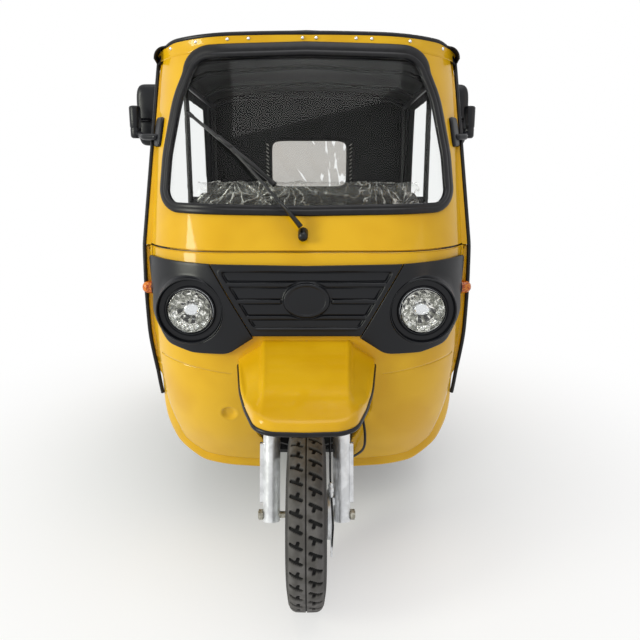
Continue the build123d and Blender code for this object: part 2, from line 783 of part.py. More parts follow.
# columns: half-width, station of the floor's edge seen from above
floor_edge = ((300.0, floor_front), (470.0, 440.0), (520.0, 540.0), (rear_inside - 0.7, floor_back))
floor_points = list(floor_edge) + [(-half, station) for half, station in reversed(floor_edge)]
floor_sheet = plan_prism(floor_points, (floor_top - floor_wall + fit, floor_top))
well_cut = fork * Pos(0, fork_offset, 200) * Cylinder(well_radius + well_wall + fit, 800)
strut_holes = both(Pos(strut_x, strut_station, floor_top) * Box(2 * strut_radius + 12, 60, 60))
publish("floor_pan", common(floor_sheet, lower_inner) - well_cut - strut_holes)

# Dashboard and brake pedal

dash = block((-dash_half, dash_half), (100, dash_back), (dash_low, dash_high))
dash -= block(
    (-space_x, space_x), (150, dash_back - dash_wall), (dash_low - dash_lip, dash_high - dash_lip)
)
publish("dashboard", common(dash, lower_inner) - fork * Pos(0, fork_offset, 300) * Cylinder(45, 1600))

pedal_foot = floor_top + fit
pedal = side_prism(
    [(470, pedal_foot), (500, pedal_foot), (470, pedal_foot + 110), (455, pedal_foot + 110)],
    (pedal_x, pedal_x + pedal_wide),
)
pedal += Pos(pedal_x + pedal_wide / 2, 458, pedal_foot + 110) * Rot(-35, 0, 0) * Box(64, 10, 90)
publish("brake_pedal", pedal)

# Seats and partition


def roof_tube_x(station):
    """Centre of the roof's side tube at a station."""
    table = [(canopy_front, front_roof[0]), (canopy_back, rear_roof[0])]
    return between(table, station) - canopy_wall - rail_inset


def cushion(x, stations, z):
    """Plain padded block with soft edges."""
    pad = block(x, stations, z)
    return fillet(pad.edges(), cushion_corner)


post_x = roof_tube_x(post_station)
partition_half = post_x - post_tube - fit
partition_back = post_station + frame_tube
partition_front = partition_back - partition_thick
partition = block(
    (-partition_half, partition_half), (partition_front, partition_back), (floor_top + fit, partition_top)
)
publish("partition", partition)

seat_low, seat_high = driver_seat_stations
box_half = driver_seat_half - seat_box_inset
box_front = seat_low + seat_box_inset + 10
seat_box = block((-box_half, box_half), (box_front, partition_front - fit), (floor_top + fit, box_top))
seat_box -= block(
    (box_wall - box_half, box_half - box_wall), (box_front + box_wall, partition_front), (0, box_top - box_wall)
)
publish("driver_seat_box", seat_box)
publish("driver_seat", cushion(
    (-driver_seat_half, driver_seat_half), driver_seat_stations, (box_top + fit, cushion_high)
))
publish("driver_backrest", cushion(
    (backrest_gap - partition_half, partition_half - backrest_gap),
    (partition_front - fit - backrest_thick, partition_front - fit), (backrest_low, backrest_top),
))

seat_low, seat_high = passenger_seat_stations
publish("passenger_seat", cushion(
    (-passenger_seat_half, passenger_seat_half), passenger_seat_stations, (cushion_low + fit, cushion_high)
))
back_foot = cushion_high + 12
back_half = passenger_seat_half - 10
back_start = seat_high + passenger_back_thick - 30     # rear face of the padding at its foot
back_rows = [
    (back_start - passenger_back_thick, back_foot), (back_start, back_foot),
    (back_start + passenger_back_lean, passenger_back_top),
    (back_start + passenger_back_lean - 60, passenger_back_top),
]
publish("passenger_backrest", side_prism(back_rows, (-back_half, back_half), 22))

# Rear body

arch = along_x(Cylinder(arch_radius, 4000), 0, wheelbase, tyre_radius)
side_rows = [
    (body_front, body_low), (body_back, body_low + 60), (body_back, body_top),
    (quarter_station, body_top), (body_front + 90, body_top - 150), (body_front, body_top - 190),
]
side_panel = side_prism(side_rows, (body_out - body_wall, body_out), 12)
flare_in = body_out - body_wall
flare = Cylinder(arch_radius + flare_wide, flare_out - flare_in)
flare = along_x(flare, (flare_out + flare_in) / 2, wheelbase, tyre_radius)
flare = common(flare, block((0, flare_out + 1), (body_front, body_back), (body_low, body_top - 150)))
publish("rear_sides", both((side_panel + flare) - arch))

rear_panel = block((-rear_inside, rear_inside), (body_back - body_wall, body_back), (panel_low, body_top))
lid_hole = block(
    (-lid_half_wide - swing_gap, lid_half_wide + swing_gap), (body_back - 60, body_back + 60),
    (lid_low - swing_gap, lid_high + swing_gap),
)
hinge_station = body_back + hinge_radius + 3
hinge_z = lid_high + swing_gap
knuckle = along_x(Cylinder(hinge_radius, knuckle_long), 0, hinge_station, hinge_z)
hinge_pin = along_x(Cylinder(pin_radius, 2 * knuckle_long), 0, hinge_station, hinge_z)
pin_hole = along_x(Cylinder(pin_radius + pin_play, 3 * knuckle_long), 0, hinge_station, hinge_z)
leaf = block((-leaf_half, leaf_half), (body_back, body_back + leaf_plate), (hinge_z, hinge_z + leaf_high))
leaf += block((-leaf_half, leaf_half), (body_back, hinge_station), (hinge_z, hinge_z + leaf_plate))
lid_leaf = block(
    (-leaf_half, leaf_half), (body_back - 1, body_back + leaf_plate),
    (hinge_z - swing_gap - leaf_high - 10, hinge_z - swing_gap),
)
lid_leaf += block(
    (-leaf_half, leaf_half), (body_back, hinge_station),
    (hinge_z - swing_gap - leaf_plate, hinge_z - hinge_radius + 3),
)
plate_hole = Pos(plate_pitch / 2, body_back - body_wall / 2, plate_z) * Rot(90, 0, 0) * Cylinder(
    plate_hole_radius, 100
)
rear_panel = rear_panel - lid_hole - both(plate_hole)
lid = block((-lid_half_wide, lid_half_wide), (body_back - lid_thick, body_back), (lid_low, lid_high))
lid = fillet(lid.edges().filter_by(Axis.Y), lid_corner)
for x in (-hinge_x, hinge_x):
    rear_panel += Pos(x - knuckle_long / 2, 0, 0) * (knuckle + leaf) + Pos(x, 0, 0) * hinge_pin
    lid += Pos(x + knuckle_long / 2 + fit, 0, 0) * (knuckle + lid_leaf) - Pos(x, 0, 0) * pin_hole
handle_low = lid_low + 40
handle = block(
    (-handle_half, handle_half), (body_back, body_back + handle_deep), (handle_low, handle_low + handle_high)
)
handle -= block(
    (16 - handle_half, handle_half - 16), (body_back, body_back + handle_deep - 10),
    (handle_low - 10, handle_low + handle_high + 10),
)
publish("rear_panel", rear_panel)
publish("rear_lid", lid + handle)

tail = Pos(tail_lamp_x, body_back + fit + tail_lamp[1] / 2, tail_lamp_z) * Box(*tail_lamp)
publish("tail_lamps", both(fillet(tail.edges(), 8)))

# Seat base, boot and wheel housings

base_back = body_back - body_wall - fit
shelf = (cushion_low - box_wall, cushion_low)
base = block((-rear_inside, rear_inside), (body_front, floor_back), (floor_top + fit, cushion_low))
base += block((-rear_inside, rear_inside), (body_front, back_start), shelf)
base += both(block((wheelhouse_x, rear_inside), (body_front, base_back), shelf))
base += both(block(
    (wheelhouse_x, wheelhouse_x + wheelhouse_wall), (body_front, base_back), (boot_floor - box_wall, cushion_low)
))
base += block((-wheelhouse_x, wheelhouse_x), (body_front, base_back), (boot_floor - box_wall, boot_floor))
board_top = back_start + passenger_back_lean + fit
base += tilted_box(
    (-back_half, back_half), (seat_high + 32, board_top, board_thick), (shelf[0], passenger_back_top)
)
publish("seat_base", base)

battery_front = body_front + 100
publish("battery_pack", block(
    (-battery_half, battery_half), (battery_front, battery_front + battery_long),
    (boot_floor + fit, boot_floor + battery_high),
))

# Canopy and its frame


def roof_section(station, row, inset):
    """Arched section of the roof, from the body's top edge up and over."""
    half, edge, crown_z, radius = row
    low = canopy_low + fit - (200 if inset else 0)
    rows = [
        (-half + inset, low, 0.0), (-half + inset, edge - inset, radius - inset),
        (0.0, crown_z - inset, 1500.0),
        (half - inset, edge - inset, radius - inset), (half - inset, low, 0.0),
    ]
    wire = FilletPolyline(*[(x, z) for x, z, r in rows], radius=[r for x, z, r in rows], close=True)
    return upright(0, station, 0) * make_face(wire)


def canopy_solid(inset):
    """Roof form, its walls moved in by an inset."""
    ends = [roof_section(canopy_front - 100, front_roof, inset), roof_section(canopy_back, rear_roof, inset)]
    front = canopy_front if inset == 0 else 0
    side = (plan_half, front + front_sweep * 1.3, 0)
    back = (rear_roof[0] - inset + 1, canopy_back - inset, 60 - inset)
    right = [side, (plan_half, 1500, 0), back]
    plan = [(0, front, 2000)] + right + [(-x, station, radius) for x, station, radius in reversed(right)]
    wire = FilletPolyline(*[(x, y) for x, y, r in plan], radius=[r for x, y, r in plan], close=True)
    return common(loft(ends, ruled=True), extrude(make_face(wire), amount=3000))


side_gap = [
    (0, 900), (0, lip_z), (lip_back, lip_z), (valance_front, valance_z),
    (quarter_station - quarter_bevel, valance_z), (quarter_station, valance_z - 1.5 * quarter_bevel),
    (quarter_station, 900),
]
canopy = canopy_solid(0) - canopy_solid(canopy_wall) - side_prism(side_gap, (-space_x, space_x))
canopy -= block(
    (-window_half_wide, window_half_wide), (canopy_back - 60, canopy_back + 60), (window_low, window_high)
)
publish("canopy", canopy)
window_back = canopy_back - canopy_wall - fit
publish("rear_window", block(
    (-window_half_wide - window_lap, window_half_wide + window_lap),
    (window_back - window_thick, window_back), (window_low - window_lap, window_high + window_lap),
))

rear_post_x = roof_tube_x(rear_post_station)
side_tube = [
    (roof_tube_x(roof_tube_front), roof_tube_front, roof_low), (rear_post_x, rear_post_station, roof_low)
]
roof_frame = bar(side_tube, frame_tube)
# columns: x, station, foot height of each post
for x, station, foot in ((post_x, post_station, floor_top), (rear_post_x, rear_post_station, cushion_low)):
    roof_frame += bar([(x, station, foot + fit), (x, station, roof_low)], post_tube)
roof_frame = both(roof_frame)
for station in (700.0, post_station, body_front + 50, rear_post_station):
    half = roof_tube_x(station)
    bow = [
        (-half, station, roof_low), (bow_lead - half, station, roof_low + bow_rise),
        (0, station, roof_low + bow_crown),
        (half - bow_lead, station, roof_low + bow_rise), (half, station, roof_low),
    ]
    roof_frame += bar(bow, bow_tube, 60)
below_seam = block((-space_x, space_x), (0, space_back), (0, seam_z))
above_seam = block((-space_x, space_x), (0, space_back), (seam_z, roof_z + 100))
publish("roof_frame", common(roof_frame, below_seam) + common(roof_frame, upper_inner, above_seam))

# Mirrors

pillar_space = common(upper_face, block((-525, 525), (0, 900), (1300, 1600)))
mirrors = Part()
glasses = Part()
for side, x, height in mirror_rows:
    middle = upright(side * x, mirror_station, height)
    wide, high = mirror_size
    inner = (wide - 2 * mirror_rim, high - 2 * mirror_rim)
    mirrors += extrude(middle * RectangleRounded(wide, high, mirror_corner), amount=mirror_deep)
    mirrors -= extrude(middle * RectangleRounded(*inner, mirror_corner - mirror_rim), amount=mirror_recess)
    pane = RectangleRounded(inner[0] - 2 * fit, inner[1] - 2 * fit, mirror_corner - mirror_rim - fit)
    glass_plane = upright(side * x, mirror_station - mirror_recess + mirror_glass + fit, height)
    glasses += extrude(glass_plane * pane, amount=mirror_glass)
    half = cab_half_width(mirror_arm_z)
    pillar_station = face_station(mirror_arm_z)
    arm = bar([
        (side * (half - 6), pillar_station + 150, mirror_arm_z),
        (side * (half + 50), pillar_station + 110, mirror_arm_z),
        (side * x, mirror_station - 20, height - 40),
    ], mirror_arm_radius, 12)
    bracket = block(
        sorted((side * (half - 18), side * (half - 2))),
        (pillar_station + 100, pillar_station + 100 + bracket_long),
        (mirror_arm_z - bracket_half, mirror_arm_z + bracket_half),
    )
    mirrors += (arm + bracket) - pillar_space
publish("mirrors", mirrors)
publish("mirror_glasses", glasses)

# Wiper


def on_glass(x, height, proud):
    """Point at a distance in front of the windscreen."""
    return (x, face_station(height) + corner_depth(x) + glass_depth - proud, height)


wiper = bar([on_glass(*row) for row in blade_rows], blade_radius, 200)
wiper += bar([on_glass(*row) for row in arm_rows], arm_radius, 6)
pivot_x, pivot_z, _ = arm_rows[0]
spindle = Rot(90 - screen_rake, 0, 0) * Cylinder(spindle_radius, 80)
spindle = Pos(pivot_x, face_station(pivot_z), pivot_z) * spindle
publish("wiper", wiper + (spindle - upper_face))

# Rear axle with motor, springs and bumper

drum_back = rear_wheel_x - 60
plate_in = drum_back - hub_gap - plate_thick
axle = along_x(Cylinder(axle_radius, 2 * plate_in), 0, wheelbase, tyre_radius)
axle += both(along_x(Cylinder(plate_radius, plate_thick), plate_in + plate_thick / 2, wheelbase, tyre_radius))
axle += both(along_x(Cylinder(stub_radius, 90), plate_in + 45, wheelbase, tyre_radius))
differential = turned([(0, -70), (60, -70), (95, -30), (95, 30), (60, 70), (0, 70)])
axle += along_x(differential, 0, wheelbase, tyre_radius)
axle += Pos(0, wheelbase - 190, tyre_radius + 5) * Rot(90, 0, 0) * Cylinder(72, 240)
axle += Pos(0, wheelbase - 84, tyre_radius) * Rot(90, 0, 0) * Cylinder(84, 24)
publish("rear_axle", axle)


def leaf_strip(index):
    """One leaf, an arc that sags below its ends, nested under the leaf above."""
    bow_radius = (spring_half**2 + spring_rise**2) / (2 * spring_rise)
    centre = eye_z - spring_rise + bow_radius
    reach = spring_half * (1 - leaf_step * index)
    inner = bow_radius + leaf_thick * index
    outer = inner + leaf_thick
    high, low = centre - sqrt(inner**2 - reach**2), centre - sqrt(outer**2 - reach**2)
    front, back = wheelbase - reach, wheelbase + reach
    ring = [
        ThreePointArc((0, front, high), (0, wheelbase, centre - inner), (0, back, high)),
        Line((0, back, high), (0, back, low)),
        ThreePointArc((0, back, low), (0, wheelbase, centre - outer), (0, front, low)),
        Line((0, front, low), (0, front, high)),
    ]
    return Pos(rail_x - spring_wide / 2, 0, 0) * extrude(make_face(ring), amount=spring_wide, dir=(1, 0, 0))


springs = leaf_strip(0)
for index in range(1, leaf_count):
    springs += leaf_strip(index)
for station in (wheelbase - spring_half, wheelbase + spring_half - hanger_long):
    springs += block(
        (rail_x - hanger_wide / 2, rail_x + hanger_wide / 2), (station, station + hanger_long),
        (eye_z - 12, rear_rail_low - fit),
    )
publish("leaf_springs", both(springs))

bumper_station = wheelbase + rear_overhang - bumper_radius
bumper_half = body_out - 125
bumper = bar([
    (-bumper_half - 60, bumper_station - bumper_sweep, bumper_z), (-bumper_half, bumper_station, bumper_z),
    (bumper_half, bumper_station, bumper_z), (bumper_half + 60, bumper_station - bumper_sweep, bumper_z),
], bumper_radius, 50)
bumper += both(block(
    (rail_x - 20, rail_x + 20), (body_back - frame_end + fit, bumper_station), (bumper_z - 10, bumper_z + 10)
))
publish("rear_bumper", bumper)
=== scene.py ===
"""Electric rickshaw: a three-wheeled passenger cab with a yellow pressed-steel front, black mouldings and a
black vinyl roof. Sizes are in millimetres and stations are distances behind the front axle; shown() turns
both into the frame's metres."""
import json

import bmesh
import bpy
import numpy as np
from mathutils import Euler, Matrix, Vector


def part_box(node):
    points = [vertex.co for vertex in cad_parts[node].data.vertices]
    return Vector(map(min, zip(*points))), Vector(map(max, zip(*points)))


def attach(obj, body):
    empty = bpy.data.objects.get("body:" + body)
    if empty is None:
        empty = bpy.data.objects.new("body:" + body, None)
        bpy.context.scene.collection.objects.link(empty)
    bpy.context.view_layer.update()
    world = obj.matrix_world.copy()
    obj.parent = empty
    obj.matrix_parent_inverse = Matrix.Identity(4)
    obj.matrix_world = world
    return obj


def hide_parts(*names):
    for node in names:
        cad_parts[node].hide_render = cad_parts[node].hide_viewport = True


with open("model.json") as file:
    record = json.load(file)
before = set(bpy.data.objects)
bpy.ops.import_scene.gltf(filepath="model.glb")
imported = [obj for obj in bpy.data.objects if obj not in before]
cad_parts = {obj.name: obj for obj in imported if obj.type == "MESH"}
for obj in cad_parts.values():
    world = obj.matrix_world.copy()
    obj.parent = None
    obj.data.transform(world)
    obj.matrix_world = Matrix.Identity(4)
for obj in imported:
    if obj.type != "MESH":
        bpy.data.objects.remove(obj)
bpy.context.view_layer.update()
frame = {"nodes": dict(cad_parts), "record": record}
nodes = frame["nodes"]

# middle of the length, behind the front axle
CENTRE_STATION = 1060.0
TYRE_RADIUS = 265.0
WHEELBASE = 2000.0


# Meshes

def shown(points):
    """(x, station, height) in mm to the frame's metres."""
    return (np.asarray(points, float) - (0.0, CENTRE_STATION, 0.0)) * 0.001


def grid(points, close_u=False, close_v=False):
    """A (rows, columns, 3) array of points as a flat list of points and its quads."""
    rows, cols = points.shape[:2]
    row, col = np.meshgrid(np.arange(rows if close_u else rows - 1), np.arange(cols if close_v else cols - 1),
                           indexing="ij")
    next_row, next_col = (row + 1) % rows, (col + 1) % cols
    corners = (row * cols + col, row * cols + next_col, next_row * cols + next_col, next_row * cols + col)
    return points.reshape(-1, 3), np.stack(corners, -1).reshape(-1, 4)


def flipped(part):
    """The same patch facing the other way."""
    return part[0], part[1][:, ::-1]


def mirrored(part):
    """The patch on the other side of the vehicle, facing the matching way."""
    return part[0] * (-1, 1, 1), part[1][:, ::-1]


def piece(name, body, parts, slot, replaces=(), paint=None, weld=0.05, attribute=None):
    """One object from several patches of (points in mm, quads), welded along shared edges, in its slot's
    paint unless it has another. attribute is a name and a value for each point."""
    counts = np.cumsum([0] + [len(points) for points, quads in parts])
    points = shown(np.vstack([points for points, quads in parts]))
    quads = np.vstack([quads + start for (_, quads), start in zip(parts, counts)])
    mesh = bpy.data.meshes.new(name)
    mesh.from_pydata(points, [], quads.tolist())
    if attribute:
        mesh.attributes.new(attribute[0], "FLOAT", "POINT").data.foreach_set("value", attribute[1])
    if weld:
        work = bmesh.new()
        work.from_mesh(mesh)
        bmesh.ops.remove_doubles(work, verts=work.verts, dist=weld * 0.001)
        bmesh.ops.dissolve_degenerate(work, edges=work.edges, dist=1e-6)
        work.to_mesh(mesh)
        work.free()
    mesh.polygons.foreach_set("use_smooth", np.full(len(mesh.polygons), True))
    obj = bpy.data.objects.new(name, mesh)
    bpy.context.scene.collection.objects.link(obj)
    mesh.materials.append(paint or PAINT[slot])
    if replaces:
        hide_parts(*replaces)
    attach(obj, body)
    return obj


def thicken(obj, wall):
    """Sheet wall that grows away from the side the faces show."""
    modifier = obj.modifiers.new("wall", "SOLIDIFY")
    modifier.thickness = wall * 0.001
    modifier.offset = -1
    return obj


def rounded(rows, steps=9):
    """Line through (x, z, radius) corner rows with an arc at each corner."""
    points = np.array([row[:2] for row in rows], float)
    out = [points[:1]]
    for before, corner, after, radius in zip(points, points[1:], points[2:], [row[2] for row in rows[1:]]):
        back, ahead = (before - corner), (after - corner)
        back, ahead = back / np.linalg.norm(back), ahead / np.linalg.norm(ahead)
        half = np.arccos(np.clip(back @ ahead, -1, 1)) / 2
        if radius == 0 or np.pi / 2 - half < 1e-4:
            out.append(corner[None])
            continue
        centre = corner + (back + ahead) / np.linalg.norm(back + ahead) * radius / np.sin(half)
        start, end = (corner + way * radius / np.tan(half) - centre for way in (back, ahead))
        share = np.linspace(0, 1, steps)[:, None]
        turn = np.pi - 2 * half
        out.append(centre + (np.sin((1 - share) * turn) * start + np.sin(share * turn) * end) / np.sin(turn))
    return np.vstack(out + [points[-1:]])


def arc_steps(line):
    """Distance along a line to each of its points."""
    return np.concatenate([[0], np.cumsum(np.linalg.norm(np.diff(line, axis=0), axis=1))])


def points_at(line, at):
    """Points of a line at distances along it."""
    steps = arc_steps(line)
    return np.column_stack([np.interp(at, steps, line[:, axis]) for axis in range(line.shape[1])])


def resampled(line, count):
    """Points evenly spaced along a line."""
    return points_at(line, np.linspace(0, arc_steps(line)[-1], count))


def subdivided(line, gap):
    """The line with extra points no more than gap apart, its corners kept."""
    steps = arc_steps(line)
    return points_at(line, np.union1d(steps, np.arange(0, steps[-1], gap)))


def straight(a, b, count):
    """Evenly spaced points from a to b."""
    share = np.linspace(0, 1, count)[:, None]
    return np.asarray(a) * (1 - share) + np.asarray(b) * share


def hermite(t, start, end, leave, arrive):
    """Cubic from start to end at shares t, with its slopes at both ends."""
    return ((2 * t**3 - 3 * t**2 + 1) * start + (t**3 - 2 * t**2 + t) * leave
            + (3 * t**2 - 2 * t**3) * end + (t**3 - t**2) * arrive)


def circle(count):
    """Directions of length 1, evenly spaced round a circle."""
    turn = np.linspace(0, 2 * np.pi, count, endpoint=False)
    return np.column_stack([np.cos(turn), np.sin(turn)])


def superellipse(unit, power, half=1.0):
    """Directions carried out to a rounded rectangle of the given half sizes, squarer as the power grows."""
    return unit / ((np.abs(unit / half) ** power).sum(1) ** (1 / power))[:, None]


def inset(line, amount):
    """A front-view line moved to its left by an amount."""
    tangent = np.gradient(line, axis=0)
    tangent /= np.linalg.norm(tangent, axis=1)[:, None]
    return line + np.reshape(amount, (-1, 1)) * np.column_stack([-tangent[:, 1], tangent[:, 0]])


def patch(bottom, top, left, right):
    """Coons patch: the blend of two pairs of facing edges less the blend of their corners."""
    u = np.linspace(0, 1, len(bottom))[None, :, None]
    v = np.linspace(0, 1, len(left))[:, None, None]
    across = (1 - v) * bottom[None] + v * top[None]
    along = (1 - u) * left[:, None] + u * right[:, None]
    corners = (1 - v) * ((1 - u) * bottom[0] + u * bottom[-1]) + v * ((1 - u) * top[0] + u * top[-1])
    return across + along - corners


def smooth_step(x, low, high):
    """0 below low, 1 above high, with level ends."""
    share = np.clip((x - low) / (high - low), 0, 1)
    return share * share * (3 - 2 * share)


def ridge_noise(x, y, seed, octaves=4):
    """Sum of folded sine waves in random directions, sharp along its crests, from 0 to 1."""
    draw = np.random.default_rng(seed)
    total, weight = 0.0, 0.0
    for octave in range(octaves):
        angle, phase = draw.uniform(0, np.pi), draw.uniform(0, 6.28, 2)
        scale = 1.75 ** octave
        wave = (x * np.cos(angle) + y * np.sin(angle)) * scale
        bend = np.sin((y * np.cos(angle) - x * np.sin(angle)) * scale * 0.6 + phase[0])
        total = total + (1 - np.abs(np.sin(wave + 1.3 * bend + phase[1]))) / 1.5 ** octave
        weight += 1 / 1.5 ** octave
    return total / weight


def tube(path, radius, sides=12, squash=1.0):
    """Round section carried along a path of (x, station, z) points, closed at both ends."""
    path = np.asarray(path, float)
    tangent = np.gradient(path, axis=0)
    tangent /= np.linalg.norm(tangent, axis=1)[:, None]
    side = np.cross(tangent, (0.13, 0.21, 0.97))
    side /= np.linalg.norm(side, axis=1)[:, None]
    up = np.cross(side, tangent)
    turn = np.linspace(0, 2 * np.pi, sides, endpoint=False)
    ring = np.broadcast_to(np.reshape(radius, (-1, 1, 1)), (len(path), sides, 1))
    body = path[:, None] + ring * (side[:, None] * np.cos(turn)[None, :, None]
                                   + up[:, None] * np.sin(turn)[None, :, None] * squash)
    ends = [np.repeat(path[:1, None], sides, 1), body, np.repeat(path[-1:, None], sides, 1)]
    return flipped(grid(np.concatenate(ends), close_v=True))


def turned(rows, centre, axis="y", count=48):
    """Profile of (radius, distance along the axis) rows turned round an axis through centre."""
    rows = np.asarray(rows, float)
    angle = np.linspace(0, 2 * np.pi, count, endpoint=False)[None, :]
    radius, along = rows[:, :1], rows[:, 1:2] + 0 * angle
    if axis == "y":
        points = np.stack([radius * np.cos(angle), along, radius * np.sin(angle)], -1)
    else:
        points = np.stack([along, radius * np.sin(angle), radius * np.cos(angle)], -1)
    return grid(points + np.asarray(centre, float), close_v=True)


# The cab's front: one surface, station = front_station(z) + corner(x)

SEAM_Z, SCREEN_RAKE = 1040.0, np.radians(22.5)
FLAT_HALF, CORNER_RADIUS = 230.0, 300.0
FRONT_PROFILE = np.array([
    (240, 338), (340, 276), (420, 226), (500, 188), (580, 160), (660, 142.5), (740, 132), (820, 127.5),
    (900, 128.5), (970, 136.5), (1040, 149)], float)
CAB_OUTLINE = ((0, 275, 0), (165, 277, 200), (360, 296, 60), (440, 348, 60), (489, 500, 500), (514, 740, 900),
               (520, 1040, 900), (500, 1600, 600))
ARCH_OUTLINE = ((150, 276, 0), (150, 396, 60), (204, 530, 90), (204, 716, 60), (0, 716, 0))
SCREEN_OUTLINE = ((0, 1172, 0), (437, 1179, 42), (430, 1320, 300), (398, 1492, 300), (345, 1617, 62),
                  (0, 1627, 0))
PANEL_OUTLINE = ((0, 1000, 0), (300, 1005, 0), (499, 1011, 12), (482, 900, 60), (486, 828, 60),
                 (430, 748, 50), (347, 731, 80), (238, 733, 60), (153, 788, 20), (0, 788, 0))
LAMP = np.array([351.0, 863.0])


def front_station(height):
    """Station of the front's middle line: a smooth curve through the profile, then the screen's straight
    rake."""
    z, station = FRONT_PROFILE.T
    slope = np.gradient(station, z)
    slope[-1] = 0.19
    height = np.asarray(height, float)
    low = np.clip(np.searchsorted(z, height) - 1, 0, len(z) - 2)
    gap = z[low + 1] - z[low]
    t = (np.clip(height, z[0], SEAM_Z) - z[low]) / gap
    curve = hermite(t, station[low], station[low + 1], gap * slope[low], gap * slope[low + 1])
    return curve + np.maximum(height - SEAM_Z, 0) * np.tan(SCREEN_RAKE)


def corner(x, limit=292.0):
    """How far the front lies back at x: flat, then an arc; past the limit it stays level."""
    side = np.clip(np.abs(x) - FLAT_HALF, 0, limit)
    return CORNER_RADIUS - np.sqrt(CORNER_RADIUS**2 - side**2)


def on_front(flat, out=0.0, limit=292.0):
    """Points of the front at front-view (x, z), moved out along the surface's normal."""
    x, z = flat[..., 0], flat[..., 1]
    slope_x = (corner(x + 1, limit) - corner(x - 1, limit)) / 2
    slope_z = (front_station(z + 1) - front_station(z - 1)) / 2
    normal = np.stack([slope_x, -np.ones_like(x), slope_z], -1)
    normal /= np.linalg.norm(normal, axis=-1, keepdims=True)
    base = np.stack([x, front_station(z) + corner(x, limit), z], -1)
    return base + np.reshape(out, np.shape(out) + (1,)) * normal if np.ndim(out) else base + out * normal


def edge_strip(line, profile, limit=292.0):
    """A profile of (distance inwards, distance out) rows carried along a front-view line."""
    rows = [on_front(inset(line, inward), out, limit) for inward, out in profile]
    return grid(np.stack(rows))


# Materials

def linear(colour):
    """sRGB hex to linear RGBA."""
    channels = np.array([int(colour[i:i + 2], 16) for i in (1, 3, 5)]) / 255
    return tuple(np.where(channels <= 0.04045, channels / 12.92, ((channels + 0.055) / 1.055) ** 2.4)) + (1.0,
                                                                                                          )


def add(tree, kind, settings=None, **links):
    """A node with its settings and its inputs: a number or colour is set, an output socket is linked."""
    node = tree.nodes.new(kind)
    for key, value in (settings or {}).items():
        setattr(node, key, value)
    for key, value in links.items():
        numbered = key[0] == "i" and key[1:].isdigit()
        socket = node.inputs[int(key[1:]) if numbered else key.replace("_", " ")]
        if isinstance(value, bpy.types.NodeSocket):
            tree.links.new(value, socket)
        else:
            socket.default_value = value
    return node


def finish(name, colour, rough, metallic=0.0, **sockets):
    """A material with its shader's own sockets set; returns the material, its tree and its shader."""
    paint = bpy.data.materials.new(name)
    paint.use_nodes = True
    tree = paint.node_tree
    shader = tree.nodes["Principled BSDF"]
    shader.inputs["Base Color"].default_value = linear(colour)
    shader.inputs["Roughness"].default_value = rough
    shader.inputs["Metallic"].default_value = metallic
    for key, value in sockets.items():
        shader.inputs[key.replace("_", " ")].default_value = value
    return paint, tree, shader


def grain(tree, size, detail=2.0, roughness=0.5):
    """Noise whose blotches are about size mm across, on object coordinates in metres."""
    place = add(tree, "ShaderNodeTexCoord")
    return add(tree, "ShaderNodeTexNoise", {"noise_dimensions": "3D"}, Vector=place.outputs["Object"],
               Scale=1000.0 / size, Detail=detail, Roughness=roughness).outputs["Fac"]


def mottle(tree, shader, dark, light, size, low=0.4, high=0.6):
    """Base colour that drifts between two colours over blotches of a size."""
    ramp = add(tree, "ShaderNodeMapRange", None, Value=grain(tree, size), i1=low, i2=high)
    mix = add(tree, "ShaderNodeMix", {"data_type": "RGBA"}, i0=ramp.outputs[0], i6=linear(dark),
              i7=linear(light))
    tree.links.new(mix.outputs[2], shader.inputs["Base Color"])
    return mix.outputs[2]


def roughness_drift(tree, shader, size, low, high):
    """Gloss that varies between two roughnesses over blotches of a size."""
    drift = add(tree, "ShaderNodeMapRange", None, Value=grain(tree, size), i1=0.35, i2=0.65, i3=low, i4=high)
    tree.links.new(drift.outputs[0], shader.inputs["Roughness"])


def bump(tree, shader, height, depth, strength=1.0, layer="Normal"):
    """Relief of a depth in mm from a height field of 0 to 1, on the surface or on its coat."""
    node = add(tree, "ShaderNodeBump", None, Height=height, Distance=depth * 0.001, Strength=strength)
    tree.links.new(node.outputs[0], shader.inputs[layer])


def yellow_enamel():
    """Baked enamel on pressed steel: saturated golden yellow under a clear coat, with faint orange peel."""
    paint, tree, shader = finish("baked_yellow_enamel", "#DDAB12", 0.34, Coat_Weight=0.65,
                                 Coat_Roughness=0.04,
                                 Coat_IOR=1.35, Specular_IOR_Level=0.12)
    mottle(tree, shader, "#D9A60E", "#E1B017", 180)
    bump(tree, shader, grain(tree, 5.0, 1.0), 0.06, layer="Coat Normal")
    return paint


def black_moulding():
    """Injection-moulded black ABS with a fine spark-eroded grain: soft wide highlights."""
    paint, tree, shader = finish("moulded_black_abs", "#0C0E13", 0.34, Specular_IOR_Level=0.3)
    roughness_drift(tree, shader, 60, 0.28, 0.38)
    bump(tree, shader, grain(tree, 1.6, 2.0), 0.04)
    return paint


def black_rubber():
    """Extruded EPDM rubber: dull black with a faint grey bloom."""
    paint, tree, shader = finish("extruded_black_rubber", "#0B0B0E", 0.36, Specular_IOR_Level=0.28)
    mottle(tree, shader, "#08080B", "#101014", 25)
    bump(tree, shader, grain(tree, 2.5, 2.0), 0.05)
    return paint


def clear_glass():
    """Laminated windscreen glass, barely grey."""
    paint, tree, shader = finish("laminated_clear_glass", "#F2F4F3", 0.0, Transmission_Weight=1.0, IOR=1.18)
    roughness_drift(tree, shader, 300, 0.0, 0.012)
    return paint


def lamp_lens():
    """Hard-coated clear polycarbonate lamp lens."""
    paint, tree, shader = finish("clear_polycarbonate_lens", "#FFFFFF", 0.02, Transmission_Weight=1.0,
                                 IOR=1.45)
    roughness_drift(tree, shader, 40, 0.01, 0.03)
    return paint


